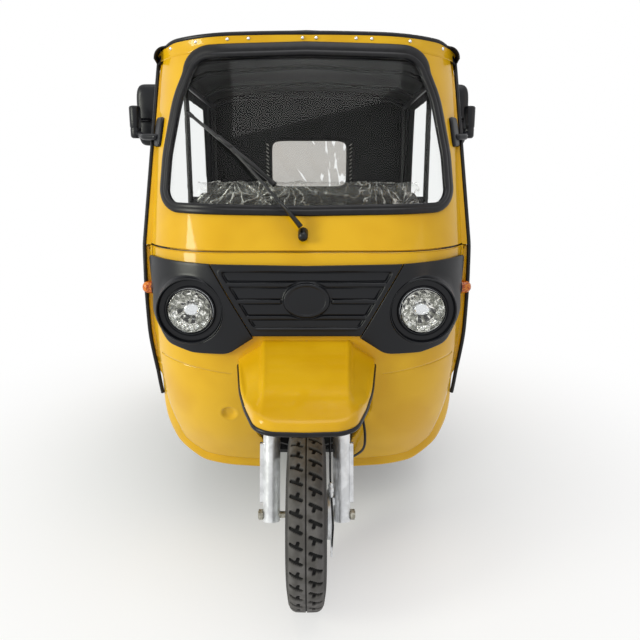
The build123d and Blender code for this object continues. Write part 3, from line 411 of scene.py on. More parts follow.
def reflector_chrome():
    """Vacuum-metallised reflector: bright mirror with a little haze."""
    paint, tree, shader = finish("metallised_reflector", "#E6E6E2", 0.06, 1.0)
    mottle(tree, shader, "#9A9B92", "#FFFFFC", 17, 0.46, 0.54)
    roughness_drift(tree, shader, 12, 0.03, 0.1)
    return paint


def amber_lens():
    """Injection-moulded amber acrylic indicator lens, uneven in colour and faintly rippled."""
    paint, tree, shader = finish("amber_acrylic", "#C4600C", 0.14, IOR=1.49)
    mottle(tree, shader, "#A84304", "#DE7F18", 7, 0.44, 0.56)
    bump(tree, shader, grain(tree, 4.0), 0.5)
    return paint


def red_lens():
    """Injection-moulded red acrylic tail-lamp lens, faintly rippled."""
    paint, tree, shader = finish("red_acrylic", "#B4100C", 0.14, Transmission_Weight=0.25, IOR=1.49)
    mottle(tree, shader, "#A00C0A", "#C81812", 11)
    bump(tree, shader, grain(tree, 4.0), 0.25)
    return paint


def tyre_rubber():
    """Unused tyre rubber: grey-brown dusted crown, painted shade of near black inside the tread cuts and the
    middle groove, darker on the side walls and near black on the inner lining.
    """
    paint, tree, shader = finish("dusty_tyre_rubber", "#555350", 0.8, Specular_IOR_Level=0.3)
    clean = mottle(tree, shader, "#504E4C", "#636160", 35)
    # painted shade: the "dark" attribute mixes in near black inside the tread cuts and groove; it also
    # darkens the side walls and lining
    cut = add(tree, "ShaderNodeAttribute", {"attribute_name": "dark"})
    mix = add(tree, "ShaderNodeMix", {"data_type": "RGBA"}, i0=cut.outputs["Fac"], i6=clean,
              i7=linear("#0A0A0A"))
    tree.links.new(mix.outputs[2], shader.inputs["Base Color"])
    bump(tree, shader, grain(tree, 1.5, 3.0), 0.12)
    return paint


def wheel_silver():
    """Silver lacquer with fine metal flake on a pressed steel wheel."""
    paint, tree, shader = finish("silver_wheel_lacquer", "#B9BABB", 0.34, 0.75)
    mottle(tree, shader, "#AEB0B1", "#C8C9CA", 2.5)
    bump(tree, shader, grain(tree, 3.0), 0.03)
    return paint


def cast_aluminium():
    """Gravity-cast, clear-lacquered aluminium fork leg: pale satin with a slight skin texture."""
    paint, tree, shader = finish("lacquered_cast_aluminium", "#D6D8DA", 0.34, 0.8)
    mottle(tree, shader, "#CBCDCF", "#E0E2E4", 30)
    roughness_drift(tree, shader, 14, 0.28, 0.42)
    bump(tree, shader, grain(tree, 2.2, 3.0), 0.05)
    return paint


def black_steel():
    """Powder-coated black steel tube."""
    paint, tree, shader = finish("black_powder_coat", "#0F1011", 0.32, Specular_IOR_Level=0.32)
    mottle(tree, shader, "#0D0E0F", "#151618", 40)
    bump(tree, shader, grain(tree, 1.8, 2.0), 0.08)
    return paint


def zinc_steel():
    """Zinc-plated steel: pale metal with cloudy spangle."""
    paint, tree, shader = finish("zinc_plated_steel", "#A9A69B", 0.36, 1.0)
    mottle(tree, shader, "#8F8C80", "#BDBAAE", 12)
    roughness_drift(tree, shader, 8, 0.28, 0.5)
    return paint


def canopy_cloth():
    """PVC-coated polyester tarpaulin: black, low sheen, its threads just telegraphing through, drawn at 3
    mm."""
    paint, tree, shader = finish("coated_black_tarpaulin", "#0F1011", 0.5, Specular_IOR_Level=0.22)
    mottle(tree, shader, "#0C0D0E", "#151617", 90)
    place = add(tree, "ShaderNodeTexCoord").outputs["Object"]
    threads = [add(tree, "ShaderNodeTexWave", {"wave_type": "BANDS", "bands_direction": axis}, Vector=place,
                   Scale=2 * np.pi / 20 * 1000.0 / 3.0, Distortion=0.0).outputs["Fac"] for axis in ("X", "Y")]
    weave = add(tree, "ShaderNodeMath", {"operation": "ADD"}, i0=threads[0], i1=threads[1])
    bump(tree, shader, weave.outputs[0], 0.012)
    return paint


def seat_vinyl():
    """Expanded vinyl seat cover: black with a leather-like pore grain of 4 mm."""
    paint, tree, shader = finish("black_seat_vinyl", "#141314", 0.48, Specular_IOR_Level=0.3)
    mottle(tree, shader, "#111011", "#1B1A1A", 70)
    place = add(tree, "ShaderNodeTexCoord")
    pores = add(tree, "ShaderNodeTexVoronoi", {"feature": "DISTANCE_TO_EDGE"}, Vector=place.outputs["Object"],
                Scale=1000.0 / 4.0)
    bump(tree, shader, pores.outputs["Distance"], 0.2, 0.4)
    return paint


def window_film():
    """Soft clear PVC window sheet: a warm haze with slow ripples, brighter along the creases in attribute
    "fold": a painted highlight, the haze thinned there so the white behind shows through."""
    paint, tree, shader = finish("clear_pvc_window", "#A58B66", 0.12, Specular_IOR_Level=0.9)
    fold = add(tree, "ShaderNodeAttribute", {"attribute_name": "fold"})
    # painted highlight: alpha falls from 0.55 to 0.03 along the creases, so they show the white behind
    alpha = add(tree, "ShaderNodeMapRange", None, Value=fold.outputs["Fac"], i3=0.55, i4=0.03)
    tree.links.new(alpha.outputs[0], shader.inputs["Alpha"])
    bump(tree, shader, grain(tree, 45.0, 1.0), 2.0)
    return paint


def thread():
    """White spun polyester sewing thread."""
    paint, tree, shader = finish("white_polyester_thread", "#E4E2DC", 0.6, Specular_IOR_Level=0.3)
    mottle(tree, shader, "#D6D4CE", "#EDEBE6", 3)
    return paint


def mirror_silver():
    """Silvered mirror glass."""
    paint, tree, shader = finish("silvered_mirror", "#DDE0E2", 0.03, 1.0)
    roughness_drift(tree, shader, 50, 0.02, 0.05)
    return paint


def floor_paint():
    """Grey chequered rubber matting glued to a steel floor."""
    paint, tree, shader = finish("grey_floor_matting", "#1F2021", 0.7, Specular_IOR_Level=0.3)
    mottle(tree, shader, "#1B1C1D", "#272829", 30)
    place = add(tree, "ShaderNodeTexCoord").outputs["Object"]
    studs = add(tree, "ShaderNodeTexVoronoi", {"feature": "F1"}, Vector=place, Scale=1000.0 / 18.0)
    studs.inputs["Randomness"].default_value = 0.0
    bump(tree, shader, studs.outputs["Distance"], 1.2, 0.7)
    return paint


PAINT = {
    "yellow_enamel": yellow_enamel(), "black_moulding": black_moulding(), "black_rubber": black_rubber(),
    "screen_glass": clear_glass(), "lamp_glass": lamp_lens(), "lamp_chrome": reflector_chrome(),
    "amber_lens": amber_lens(), "red_lens": red_lens(), "tyre_rubber": tyre_rubber(),
    "wheel_silver": wheel_silver(),
    "fork_aluminium": cast_aluminium(), "black_steel": black_steel(), "zinc_steel": zinc_steel(),
    "canopy_cloth": canopy_cloth(), "seat_vinyl": seat_vinyl(), "clear_film": window_film(),
    "mirror_silver": mirror_silver(), "floor_paint": floor_paint(),
}

# Pieces kept from the frame, with their finish

slot_of = {row["node"]: row["material_slot"] for row in frame["record"]["subparts"]}
for name, obj in nodes.items():
    obj.data.materials.clear()
    obj.data.materials.append(PAINT[slot_of[name]])

# Lower front skin

SKIN_WALL = 2.0
SEAM_GAP = 1.2
FLANGE_WIDE, FLANGE_BACK = 15.0, 11.6
ARCH_LIP = 16.0
DIMPLE = np.array([-250.0, 514.0])

outline = rounded(CAB_OUTLINE)
outline = resampled(outline[outline[:, 0] >= 149.9], 700)
outline = np.vstack([outline[outline[:, 1] < SEAM_Z - SEAM_GAP][::4], [[519.8, SEAM_Z - SEAM_GAP]]])
skin_edge = inset(outline, FLANGE_WIDE + 4)
arch = rounded(ARCH_OUTLINE)
arch_side = arch[(arch[:, 1] >= skin_edge[0, 1]) & (arch[:, 1] <= 656.5) & (arch[:, 0] > 149)]
arch_side = np.vstack([[[150.0, skin_edge[0, 1]]], arch_side])
SPLIT_Z = 700.0
edge_low = skin_edge[skin_edge[:, 1] <= SPLIT_Z]
edge_high = skin_edge[skin_edge[:, 1] >= SPLIT_Z]


def flange_rows():
    """(inwards, out) columns of the set-back flange: a deep step, then a lip that widens by 21 mm and leans
    forward along the bottom, and stays narrow up the sides."""
    low = 1 - smooth_step(outline[:, 1], 400, 600)
    reach, lean = 1.0 + 21.0 * low, 4.0 + 13.0 * low
    step = [(FLANGE_WIDE + 4, 0), (FLANGE_WIDE + 2.4, -0.4), (FLANGE_WIDE + 0.8, -1.3),
            (FLANGE_WIDE - 0.8, -2.9),
            (FLANGE_WIDE - 2.2, -5.2), (FLANGE_WIDE - 3.2, -8.0), (FLANGE_WIDE - 3.8, -10.4),
            (FLANGE_WIDE - 5, -11.4),
            (FLANGE_WIDE - 6.5, -FLANGE_BACK)]
    lip = [(4, 0.25), (-0.55, 0.85), (-0.85, 1.0), (-0.95, 0.94), (-1.0, 0.75), (-1.0, 0.5)]
    rows = [(np.full(len(outline), wide), np.full(len(outline), out)) for wide, out in step]
    rows += [(reach * share if share < 0 else np.full(len(outline), float(share)), -FLANGE_BACK + lean * rise)
             for share, rise in lip]
    rows.append((-reach + 0.5, np.full(len(outline), -FLANGE_BACK - 8.0)))
    return rows


def dimpled(flat, sign):
    """Depth of the pressed round mark, a shallow dish 52 mm across, on the one side that has it."""
    away = np.hypot(flat[..., 0] * sign - DIMPLE[0], flat[..., 1] - DIMPLE[1])
    return -8.5 * (1 - smooth_step(away, 15, 26)) + 1.2 * np.exp(-((away - 28) / 3) ** 2)


def lamp_opening(part):
    """Skin without the round opening behind a lamp; the edge points are drawn onto the circle."""
    points, quads = part
    flat = np.stack([np.abs(points[:, 0]), points[:, 2]], -1) - LAMP
    away = np.linalg.norm(flat, axis=1)
    radius = 99.5
    keep = away[quads].mean(1) > radius
    rim = np.intersect1d(quads[keep], quads[~keep])
    moved = on_front(LAMP + flat[rim] * (radius / away[rim])[:, None])
    points = points.copy()
    points[rim] = moved * np.stack([np.sign(points[rim, 0]), np.ones(len(rim)), np.ones(len(rim))], -1)
    return points, quads[keep]


low_patch = patch(straight(arch_side[0], edge_low[0], 45), straight(arch_side[-1], edge_low[-1], 45),
                  resampled(arch_side, 84), resampled(edge_low, 84))
arch_over = resampled(np.vstack([arch[arch[:, 1] > 656.5][::-1], arch_side[-1:]]), 30)
under = np.vstack([arch_over, straight(arch_over[-1], edge_low[-1], 46)[1:]])
share = np.concatenate([np.linspace(0, 0.38, 30), np.linspace(0.38, 1, 46)[1:]])[:, None]
level = np.array([0, SEAM_Z - SEAM_GAP]) * (1 - share) + edge_high[-1] * share
high_patch = patch(under, level, straight(under[0], level[0], 58),
                   resampled(np.vstack([edge_low[-1:], edge_high]), 58))
skin_parts = []
for sign in (1, -1):
    leg = grid(on_front(low_patch, dimpled(low_patch, sign)))
    brow = lamp_opening(grid(on_front(high_patch)))
    flange = edge_strip(outline, flange_rows(), limit=270.0)
    lip = edge_strip(np.vstack([arch_side, arch_over[1:]]),
                     [(0, 0), (0.1, -0.6), (-0.4, -2.0), (-0.8, -4.0), (-0.8, -ARCH_LIP)])
    top = edge_strip(level, [(0, 0), (-0.6, -0.3), (-0.9, -1.2), (-0.9, -9)])
    side_parts = [leg, brow, flipped(flange), flipped(lip), top]
    skin_parts += side_parts if sign > 0 else [mirrored(part) for part in side_parts]
cowl_skin = piece("cowl_lower_skin", "chassis", skin_parts, "yellow_enamel", ["cowl_lower"], weld=0.6)
thicken(cowl_skin, SKIN_WALL)

# Headlamp mouldings and lamps

PANEL_OUT = 12.0
RIM_STATION = 126.0


def grille_edge(height):
    """Half-width of the slanted joint between the grille and a headlamp moulding."""
    return 160 + (height - 780) * 137 / 240


def lamp_moulding():
    """Rows about the lamp, from the moulding's outer wall inwards over its face and the pod's round lip."""
    line = rounded(PANEL_OUTLINE, 7)
    line = line[line[:, 0] > grille_edge(line[:, 1]) + 3]
    loop = subdivided(np.vstack([[[289.2, 1004.8]], line, [[162.4, 782.4], [289.2, 1004.8]]]), 5.0)[:-1]
    reach = np.linalg.norm(loop - LAMP, axis=1)
    toward = (loop - LAMP) / reach[:, None]
    wall = [on_front(loop - toward * inward, out) for inward,
            out in ((0, 0), (0, 9.6), (0.8, 11.5), (2.5, 12.0))]
    face = [on_front(LAMP + toward * ((1 - share) * (reach - 2.5) + share * 105.5)[:, None], PANEL_OUT)
            for share in (0.2, 0.4, 0.6, 0.8, 1.0)]
    foot = on_front(LAMP + toward * 103.2, PANEL_OUT + 1.2)
    lip = [np.column_stack([LAMP[0] + toward[:, 0] * radius, np.full(len(loop), RIM_STATION + behind),
                            LAMP[1] + toward[:, 1] * radius])
           for radius, behind in ((102.3, 6), (101.6, 2), (100.4, 0.4), (99, 0), (97.4, 0.6), (96.6, 2.5),
                                  (95.6, 15), (94.5, 17))]
    return flipped(grid(np.stack(wall + face + [foot] + lip), close_v=True))


def both_sides(parts):
    """The patches and their mirror images."""
    return parts + [mirrored(part) for part in parts]


piece("headlamp_moulding", "chassis", both_sides([lamp_moulding()]), "black_moulding", ["headlamp_panels"])

lamp_place = (LAMP[0], 0, LAMP[1])
bezel_rows = [(97, 146), (96.5, 141), (93, 139.5), (86, 142), (79, 142), (76, 140), (74.5, 136.4), (73, 136),
              (71.4, 137), (70.6, 141), (71, 150)]
piece("headlamp_bezel", "chassis", both_sides([turned(bezel_rows, lamp_place, count=96)]), "black_moulding")


def reflector_bowl():
    """Bowl 60 mm deep about the lamp's axis in three stepped rings, each fluted like the petals of a
    flower."""
    radius = 70 * np.linspace(1, 0, 56)[:, None] ** 0.85
    turn = np.linspace(0, 2 * np.pi, 180, endpoint=False)[None]
    ring = (radius > 27) * 1.0 + (radius > 50)
    flutes = np.choose(ring.astype(int), (8, 12, 18))
    petal = np.abs((flutes * turn / np.pi + 0.5 * ring) % 2 - 1)
    depth = 60 * (1 - (radius / 70) ** 2) + 6.0 * petal * radius / 70 - 5 * ring
    depth = depth + 1.6 * np.abs((radius / 6) % 2 - 1) * (ring == 2)
    points = np.stack([LAMP[0] + radius * np.cos(turn), 146 + depth + 5, LAMP[1] + radius * np.sin(turn)], -1)
    return grid(points, close_v=True)


cap = turned([(25, 172), (25, 160), (23.5, 156), (19, 153.6), (11, 152.4), (4, 152), (0, 152)], lamp_place)
cap = (cap[0] * (1, 1, 0.74) + (0, 0, LAMP[1] * 0.26), cap[1])
shell_back = turned([(72, 150), (68, 178), (52, 206), (26, 222), (0, 226)], lamp_place)
bright_ring = turned([(70.8, 147), (70.6, 141.6), (69.6, 140.4), (66.5, 140.6), (65.0, 142), (64.4, 148)],
                     lamp_place, count=96)
piece("headlamp_reflector", "chassis",
      both_sides([reflector_bowl(), flipped(shell_back)]), "lamp_chrome", ["headlamp_shells"])
piece("bulb_caps_and_rings", "chassis", both_sides([cap, bright_ring]), "lamp_chrome",
      paint=PAINT["mirror_silver"])
dome = [(radius, 137.5 - 6 * (1 - (radius / 69) ** 2)) for radius in (69, 62, 52, 40, 28, 14, 0)]
lens_rows = [(0, 134.0), (28, 135.2), (52, 137.4), (69, 139.8)] + dome
piece("headlamp_cover", "chassis", both_sides([turned(lens_rows, lamp_place, count=96)]), "lamp_glass",
      ["headlamp_lenses"])

# Amber indicators on short black stems at the cab's corners

INDICATOR = (496, 300, 904)
lamp_turn = turned([(20, 0), (20.5, 9), (20.0, 12), (19.4, 14), (20.0, 16), (19.0, 24), (16, 31), (10, 36),
                    (0, 38)],
                   INDICATOR, "x", 40)
stem_turn = turned([(12, -20), (12, -6), (17, -3), (21.5, -2), (22.6, 0), (22.6, 3), (21, 5), (0, 5)],
                   INDICATOR, "x", 40)
piece("indicator_lenses", "chassis", both_sides([lamp_turn]), "amber_lens", ["front_indicators"])
piece("indicator_bases", "chassis", both_sides([stem_turn]), "black_rubber")

# Grille: ribs and louvres in a slanted recess, with a blank oval boss

LOUVRES = np.array([
    (983, 3), (979.5, 3), (978.5, 4.0), (958, 7.4), (955.8, 6.6), (954.6, 2.4), (950.6, 2.4), (949.6, 9.2),
    (947.6, 10.4), (940.2, 10.4), (938, 9.2), (937, 2.4), (934, 2.4), (933, 4.0), (905.4, 7.4),
    (903.2, 6.6), (902, 2.4), (900.8, 2.4), (899.8, 9.2), (897.8, 10.4), (891, 10.4), (889, 9.2),
    (888, 2.4), (886.6, 2.4), (885.6, 4.0), (857.4, 7.4), (855.2, 6.6), (854, 2.4), (852.4, 2.4),
    (851.4, 9.2), (849.4, 10.4), (843, 10.4), (840.8, 9.2), (839.8, 2.4), (838, 2.4), (837, 4.0),
    (820, 6.6), (817.4, 5.8), (816, 3)])[::-1]
BOSS_HALF = np.array([69.0, 51.0])
BOSS_Z = 898.0


def grille_face():
    """Height over the front by x and z: 12 mm plate, recess by distance to its rounded outline, bars,
    boss."""
    z = np.union1d(LOUVRES[:, 0], np.concatenate([np.linspace(788, 1000, 76),
                                                  [788.3, 789, 790, 999.7, 999, 998]]))
    near = np.array([0, 0.0012, 0.004, 0.009, 0.014])
    u = np.union1d(np.linspace(-1, 1, 250), np.concatenate([near - 1, 1 - near]))[None]
    x = u * (grille_edge(z) - 0.8)[:, None]
    z = z[:, None] + (z[:, None] - 788) / 212 * np.abs(x) * 5 / 300
    side = (161 + (z - 815) * 97 / 168 - np.abs(x)) * 0.866
    level = np.minimum(983 - z, z - 815)
    inside = 12 - np.hypot(np.maximum(12 - side, 0), np.maximum(12 - level, 0))
    sunk = smooth_step(inside, 0, 3.0)
    bars = np.interp(z, LOUVRES[:, 0], LOUVRES[:, 1])
    bars = bars + (2.4 - bars) * (1 - smooth_step(side, 5, 10)) * (bars < 8)
    out = (1 - sunk) * (PANEL_OUT + 1.5 * np.exp(-((inside + 4.5) / 2.2) ** 2)) + sunk * bars
    oval = np.hypot(x / BOSS_HALF[0], (z - BOSS_Z) / BOSS_HALF[1])
    out = 5 + (out - 5) * smooth_step(oval, 1.05, 1.17)
    boss = np.interp(oval, (0, 0.80, 0.85, 0.95, 0.985, 1.02, 1.06), (13.2, 13.2, 15.4, 15.4, 14.2, 7, 5))
    out = np.where(oval < 1.06, boss, out)
    edge = np.minimum((grille_edge(z) - 0.8 - np.abs(x)) * 0.87,
                      np.minimum(z - 788, 1000 + np.abs(x) / 60 - z))
    out = out * np.sqrt(1 - (1 - np.clip(edge / 2.5, 0, 1)) ** 2)
    return grid(on_front(np.stack([x, z], -1), out))


piece("grille_moulding", "chassis", [grille_face()], "black_moulding", ["grille_panel"], weld=0)

# Windscreen rubber: a soft section carried round the screen

screen_half = subdivided(rounded(SCREEN_OUTLINE, 12), 8.0)
screen_loop = np.vstack([screen_half, (screen_half * (-1, 1))[::-1][1:-1]])


def carried(line, rows):
    """A section of (inwards, out) rows carried round a closed front-view line; its outer foot is wider along
    the top."""
    extended = np.vstack([line[-1:], line, line[:1]])
    tangent = extended[2:] - extended[:-2]
    tangent /= np.linalg.norm(tangent, axis=1)[:, None]
    left = np.column_stack([-tangent[:, 1], tangent[:, 0]])
    wider = 1 + 0.4 * smooth_step(line[:, 1], 1560, 1610)[:, None]
    return grid(np.stack([on_front(line + left * inward * (wider if inward < -18 else 1), out)
                          for inward, out in rows]), close_v=True)


seal_rows = [(-30, -1), (-30.6, 2.5), (-29.6, 5.6), (-27, 7.6), (-23, 8.8), (-18.6, 9.2), (-14.8, 8.6),
             (-13.4, 7.4),
             (-12.0, 8.4), (-8, 8.9), (-4, 8.2), (-1.2, 6.4), (0.2, 3.4), (0.2, -2), (-1, -9), (-12, -14)]
piece("screen_rubber", "chassis", [carried(screen_loop, seal_rows)], "black_rubber", ["windscreen_seal"])

# Wiper: pressed arm, sprung rod, blade with its levers


def over_screen(rows):
    """(x, z, distance in front of the glass) rows as points."""
    rows = np.asarray(rows, float)
    return np.stack([on_front(row[:2], row[2]) for row in rows])


def bar_path(start, end, count=14, bow=0.0):
    """Points between two (x, z, out) places, bowed outwards in the middle."""
    rows = straight(start, end, count)
    rows[:, 2] += bow * np.sin(np.linspace(0, np.pi, count))
    return over_screen(rows)


blade_a, blade_b = np.array([-366.0, 1447, 4.5]), np.array([-95.0, 1230, 4.5])


def blade_at(share, out):
    """Place a share of the way down the blade, at a distance in front of the glass."""
    return np.append(blade_a[:2] * (1 - share) + blade_b[:2] * share, out)


def tapered(count, middle, widths):
    """Radii along a part that changes evenly between three widths, the second at the middle share."""
    return np.interp(np.linspace(0, 1, count), (0, middle, 1), widths)


wiper_parts = [
    tube(bar_path(blade_a, blade_b, 30), 3.6, 8),
    tube(bar_path(blade_at(0.0, 9), blade_at(1.0, 9), 30), 6.4, 8, 0.8),
    tube(bar_path(blade_at(0.02, 13), blade_at(0.42, 15), 16, 5), tapered(16, 0.5, (4, 6.5, 7)), 10, 0.8),
    tube(bar_path(blade_at(0.40, 15), blade_at(0.98, 12), 18, 7), tapered(18, 0.6, (7, 9, 6)), 10, 0.8),
    tube(bar_path(blade_at(0.94, 8), blade_at(1.0, 8), 6), 11, 10, 0.8),
    tube(bar_path(blade_at(0.0, 8), blade_at(0.05, 8), 6), 8, 10, 0.8),
    tube(bar_path(blade_at(0.36, 17), blade_at(0.52, 18), 8, 2), 9, 10, 0.8),
    tube(bar_path((-16, 1104, 26), (-78, 1172, 34), 12, 5), tapered(12, 0.3, (15, 13, 9)), 14, 0.55),
    tube(bar_path((-70, 1163, 33), (-228, 1334, 20), 20, 4), 4.4, 10),
    tube(bar_path((-212, 1317, 21), (-232, 1338, 18), 8, 2), 6, 10),
    turned([(0, 40), (6, 40), (12, 36.5), (14.5, 31), (15, 22), (15, -2)], (0, 0, 0), count=32), ]
cap_point = on_front(np.array([-10.0, 1097.0]))
screen_lean = np.array([[1, 0, 0], [0, np.cos(SCREEN_RAKE), np.sin(SCREEN_RAKE)],
                        [0, -np.sin(SCREEN_RAKE), np.cos(SCREEN_RAKE)]])
wiper_parts[-1] = ((wiper_parts[-1][0] * (1, -1, 1)) @ screen_lean + cap_point, wiper_parts[-1][1])
piece("wiper_arm_and_blade", "chassis", wiper_parts, "black_steel", ["wiper"])

# Front mudguard: U-shaped plan shrunk towards the apron, with a raised middle and a flat front band

# rows of half-width, station and corner radius
GUARD_PLAN = ((208, 172, 0), (204, 110, 300), (182, -46, 600), (157, -139, 300), (130, -213, 60),
              (95, -238, 80), (0, -242, 0))
GUARD_CENTRE = np.array([0.0, 132.0])
guard_half = rounded(GUARD_PLAN)


def guard_low(station):
    """Height of the guard's lower edge, which rises towards the apron."""
    return 638 + (station + 247) / 497 * 84


def guard_top(x, station):
    """Sloping plateau 210 to 260 mm wide; its shoulders drop 15 mm, less towards the nose, then fall away."""
    away = np.abs(x) - 0.066 * (station + 242)
    fade = smooth_step(station, -215, -20)
    return (664 + 0.284 * (station + 242) - 15 * fade * smooth_step(away, 105, 117)
            - (0.25 + 0.40 * fade) * np.maximum(away - 112, 0)
            + 1.6 * fade * np.exp(-((away - 104) / 4.0) ** 2))


def mudguard():
    """Rows of the plan: the wall from its low edge up, a rounded crease, then the top towards the apron."""
    line = subdivided(np.vstack([guard_half, (guard_half * (-1, 1))[::-1][1:]]), 5.0)
    low = guard_low(line[:, 1])
    away = line - GUARD_CENTRE
    rows = []
    for share, down in ((0.0, None), (0.0, 0.62), (0.006, 0.22), (0.016, 0.06), (0.03, 0.0)):
        flat = GUARD_CENTRE + away * (1 - share)
        top = np.maximum(guard_top(flat[:, 0], flat[:, 1]), low + 9)
        height = low if down is None else top - down * np.minimum(top - low, 26)
        rows.append(np.column_stack([flat, height]))
    for share in np.concatenate([[0.045, 0.07, 0.1], np.linspace(0.14, 1, 34)]):
        flat = GUARD_CENTRE + away * (1 - share)
        top = np.maximum(guard_top(flat[:, 0], flat[:, 1]), (low + 9) * (share < 0.2))
        rows.append(np.column_stack([flat, top]))
    return grid(np.stack(rows))


guard_edge = subdivided(np.column_stack([guard_half, guard_low(guard_half[:, 1]) - 2]), 12.0)
guard_edge = guard_edge[guard_edge[:, 1] < 118]
piece("mudguard_bead", "chassis", [tube(np.vstack([guard_edge, (guard_edge * (-1, 1, 1))[::-1][1:]]), 7.5,
                                        14)],
      "black_rubber", ["mudguard_beading"])
guard = piece("mudguard_shell", "chassis", [mudguard()], "yellow_enamel", ["front_mudguard"])
thicken(guard, 3)

# Wire beside the wheel arch, and the barrel adjuster on the brake cable


def swept(points, count):
    """Smooth path through points, by cubic Hermite pieces with chords as slopes."""
    points = np.array(points, float)
    slope = np.gradient(points, axis=0)
    at = np.linspace(0, len(points) - 1, count)
    low = np.minimum(at.astype(int), len(points) - 2)
    t = (at - low)[:, None]
    return hermite(t, points[low], points[low + 1], slope[low], slope[low + 1])


wire_line = swept([(168, 178, 700), (167, 164, 600), (176, 158, 520), (187, 172, 440), (184, 214, 372),
                   (152, 296, 300)], 60)
piece("arch_wire_loop", "chassis", [tube(wire_line, 4.2, 12)], "black_rubber", ["arch_wire"])
cable = np.array([vertex.co for vertex in nodes["brake_cable"].data.vertices]) * 1000 + (0, CENTRE_STATION, 0)
cable_fit = [np.polyfit(cable[:, 2], cable[:, axis], 4) for axis in (0, 1)]
barrel_z = np.linspace(338, 378, 17)
barrel_line = np.column_stack([np.polyval(cable_fit[0], barrel_z), np.polyval(cable_fit[1], barrel_z),
                               barrel_z])
barrel_radius = np.array([4, 4.4, 6.4, 6.6, 6.6, 5, 8.4, 8.8, 8.8, 8.8, 8.4, 5.4, 7.2, 7.4, 7.2, 5, 4.4])
piece("cable_adjuster", "steering", [tube(barrel_line, barrel_radius, 16)], "fork_aluminium")

# Tyres

TREAD_REPEATS = 40
PITCH = 2 * np.pi * TYRE_RADIUS / TREAD_REPEATS


def to_bar(x, a, start, end):
    """Distance from (x, a) to a straight bar."""
    start, along = np.array(start), np.subtract(end, start)
    share = np.clip(((x - start[0]) * along[0] + (a - start[1]) * along[1]) / (along @ along), 0, 1)
    return np.hypot(x - start[0] - share * along[0], a - start[1] - share * along[1])


def tyre(around, crown_columns, centre):
    """Rounded carcass turned about the axle. Tread cuts are bars with a stem, repeated forty times round
    each row; the left row is the right one turned half round and half a pitch on. Returns the patch and its
    painted shade: near black in the cuts, the groove and the lining, and darker towards the side walls."""
    line = rounded(((-44, 152, 0), (-58, 200, 55), (-47, 263, 24), (47, 263, 24), (58, 200, 55),
                    (44, 152, 0)), 12)
    steps = arc_steps(line)
    middle = steps[-1] / 2
    at = np.union1d(np.linspace(0, steps[-1], 30), middle + np.linspace(-47, 47, crown_columns))
    x, radius = (np.interp(at, steps, line[:, axis]) for axis in (0, 1))
    radius = radius + 2 * np.maximum(1 - (x / 44) ** 2, 0)
    across = (at - middle)[None]
    angle = np.linspace(0, 2 * np.pi, around, endpoint=False)[:, None]
    run = (angle * TYRE_RADIUS) % PITCH
    cut = np.full((around, len(at)), np.inf)
    for side, shift in ((1, 0.0), (-1, PITCH / 2)):
        local = side * ((run + shift + PITCH / 2) % PITCH - PITCH / 2)
        bar = np.minimum(to_bar(side * across, local, (12, 5.5), (41, -6.5)),
                         to_bar(side * across, local, (24, 0), (20.5, -11.5)))
        cut = np.minimum(cut, bar)
    carved = 1 - smooth_step(cut, 4.2, 5.4)
    groove = 1 - smooth_step(np.abs(across) + 0 * angle, 0.8, 2.4)
    ribs = sum(high * np.exp(-((np.abs(across) - place) / wide) ** 2)
               for high, place, wide in ((0.9, 66, 1.6), (1.2, 96, 2.2)))
    deep = radius[None] - 6 * carved - 3 * groove
    side_out = np.sign(x)[None] * ribs
    points = np.stack([x[None] + side_out + 0 * deep, deep * np.sin(angle), deep * np.cos(angle)], -1)
    # dark: painted shade, near black in the tread cuts and the middle groove, up to 0.75 of it towards the
    # side walls
    dark = np.clip(np.maximum(carved, groove) + 0.75 * smooth_step(np.abs(across), 49, 60), 0, 1)
    inner = np.array([(36, 153), (42, 200), (24, 236), (-24, 236), (-42, 200), (-36, 153)], float)
    lining = np.stack([inner[None, :, 0] + 0 * angle, inner[None, :, 1] * np.sin(angle),
                       inner[None, :, 1] * np.cos(angle)], -1)
    points = np.concatenate([points, lining], 1) + centre
    dark = np.concatenate([dark, np.ones((around, len(inner)))], 1)
    return grid(points, close_u=True, close_v=True), dark.ravel()


for name, body, centre, around, crown_columns in (
        ("front_tyre", "front_wheel", (0, 0, TYRE_RADIUS), 800, 56),
        ("rear_tyre_right", "rear_wheel_right", (-540, WHEELBASE, TYRE_RADIUS), 440, 32),
        ("rear_tyre_left", "rear_wheel_left", (540, WHEELBASE, TYRE_RADIUS), 440, 32)):
    part, dark = tyre(around, crown_columns, np.array(centre, float))
    # the "dark" attribute carries the painted shade of the tread cuts
    piece(name + "_treaded", body, [part], "tyre_rubber", [name], weld=0,
          attribute=("dark", dark))

# Canopy: one sheet over the bows and down the back

BACK = 2330.0
WINDOW = np.array([250.0, 150.0])
WINDOW_Z = 1280.0
WINDOW_POWER = 9
ROLL = 50.0


def roof_section(station, hem, inwards):
    """Half sections at stations: straight wall from the hem, a rounded edge, then a flat arch to the
    middle."""
    share = (station - 326) / (BACK - 326)
    half, edge, crown = 500 + 122 * share - inwards, 1670 + 2 * share - inwards, 1704 + 16 * share - inwards
    bend = np.maximum(30 + 60 * share - inwards, 12)
    half, edge, crown, bend, hem = (value[:, None] for value in (half, edge, crown, bend, hem))
    up = np.linspace(0, 1, 32)[None]
    wall = np.stack([half + 0 * up, hem + (edge - bend - hem) * up], -1)
    turn = np.linspace(0, np.pi / 2, 12)[None, 1:]
    edge_arc = np.stack([half - bend + bend * np.cos(turn), edge - bend + bend * np.sin(turn)], -1)
    x = (half - bend) * np.linspace(1, 0, 28)[None, 1:]
    arch_rows = np.stack([x, edge + (crown - edge) * (1 - (x / (half - bend)) ** 3)], -1)
    right = np.concatenate([wall, edge_arc, arch_rows], 1)
    return np.concatenate([right, (right * (-1, 1))[:, ::-1][:, 1:]], 1)


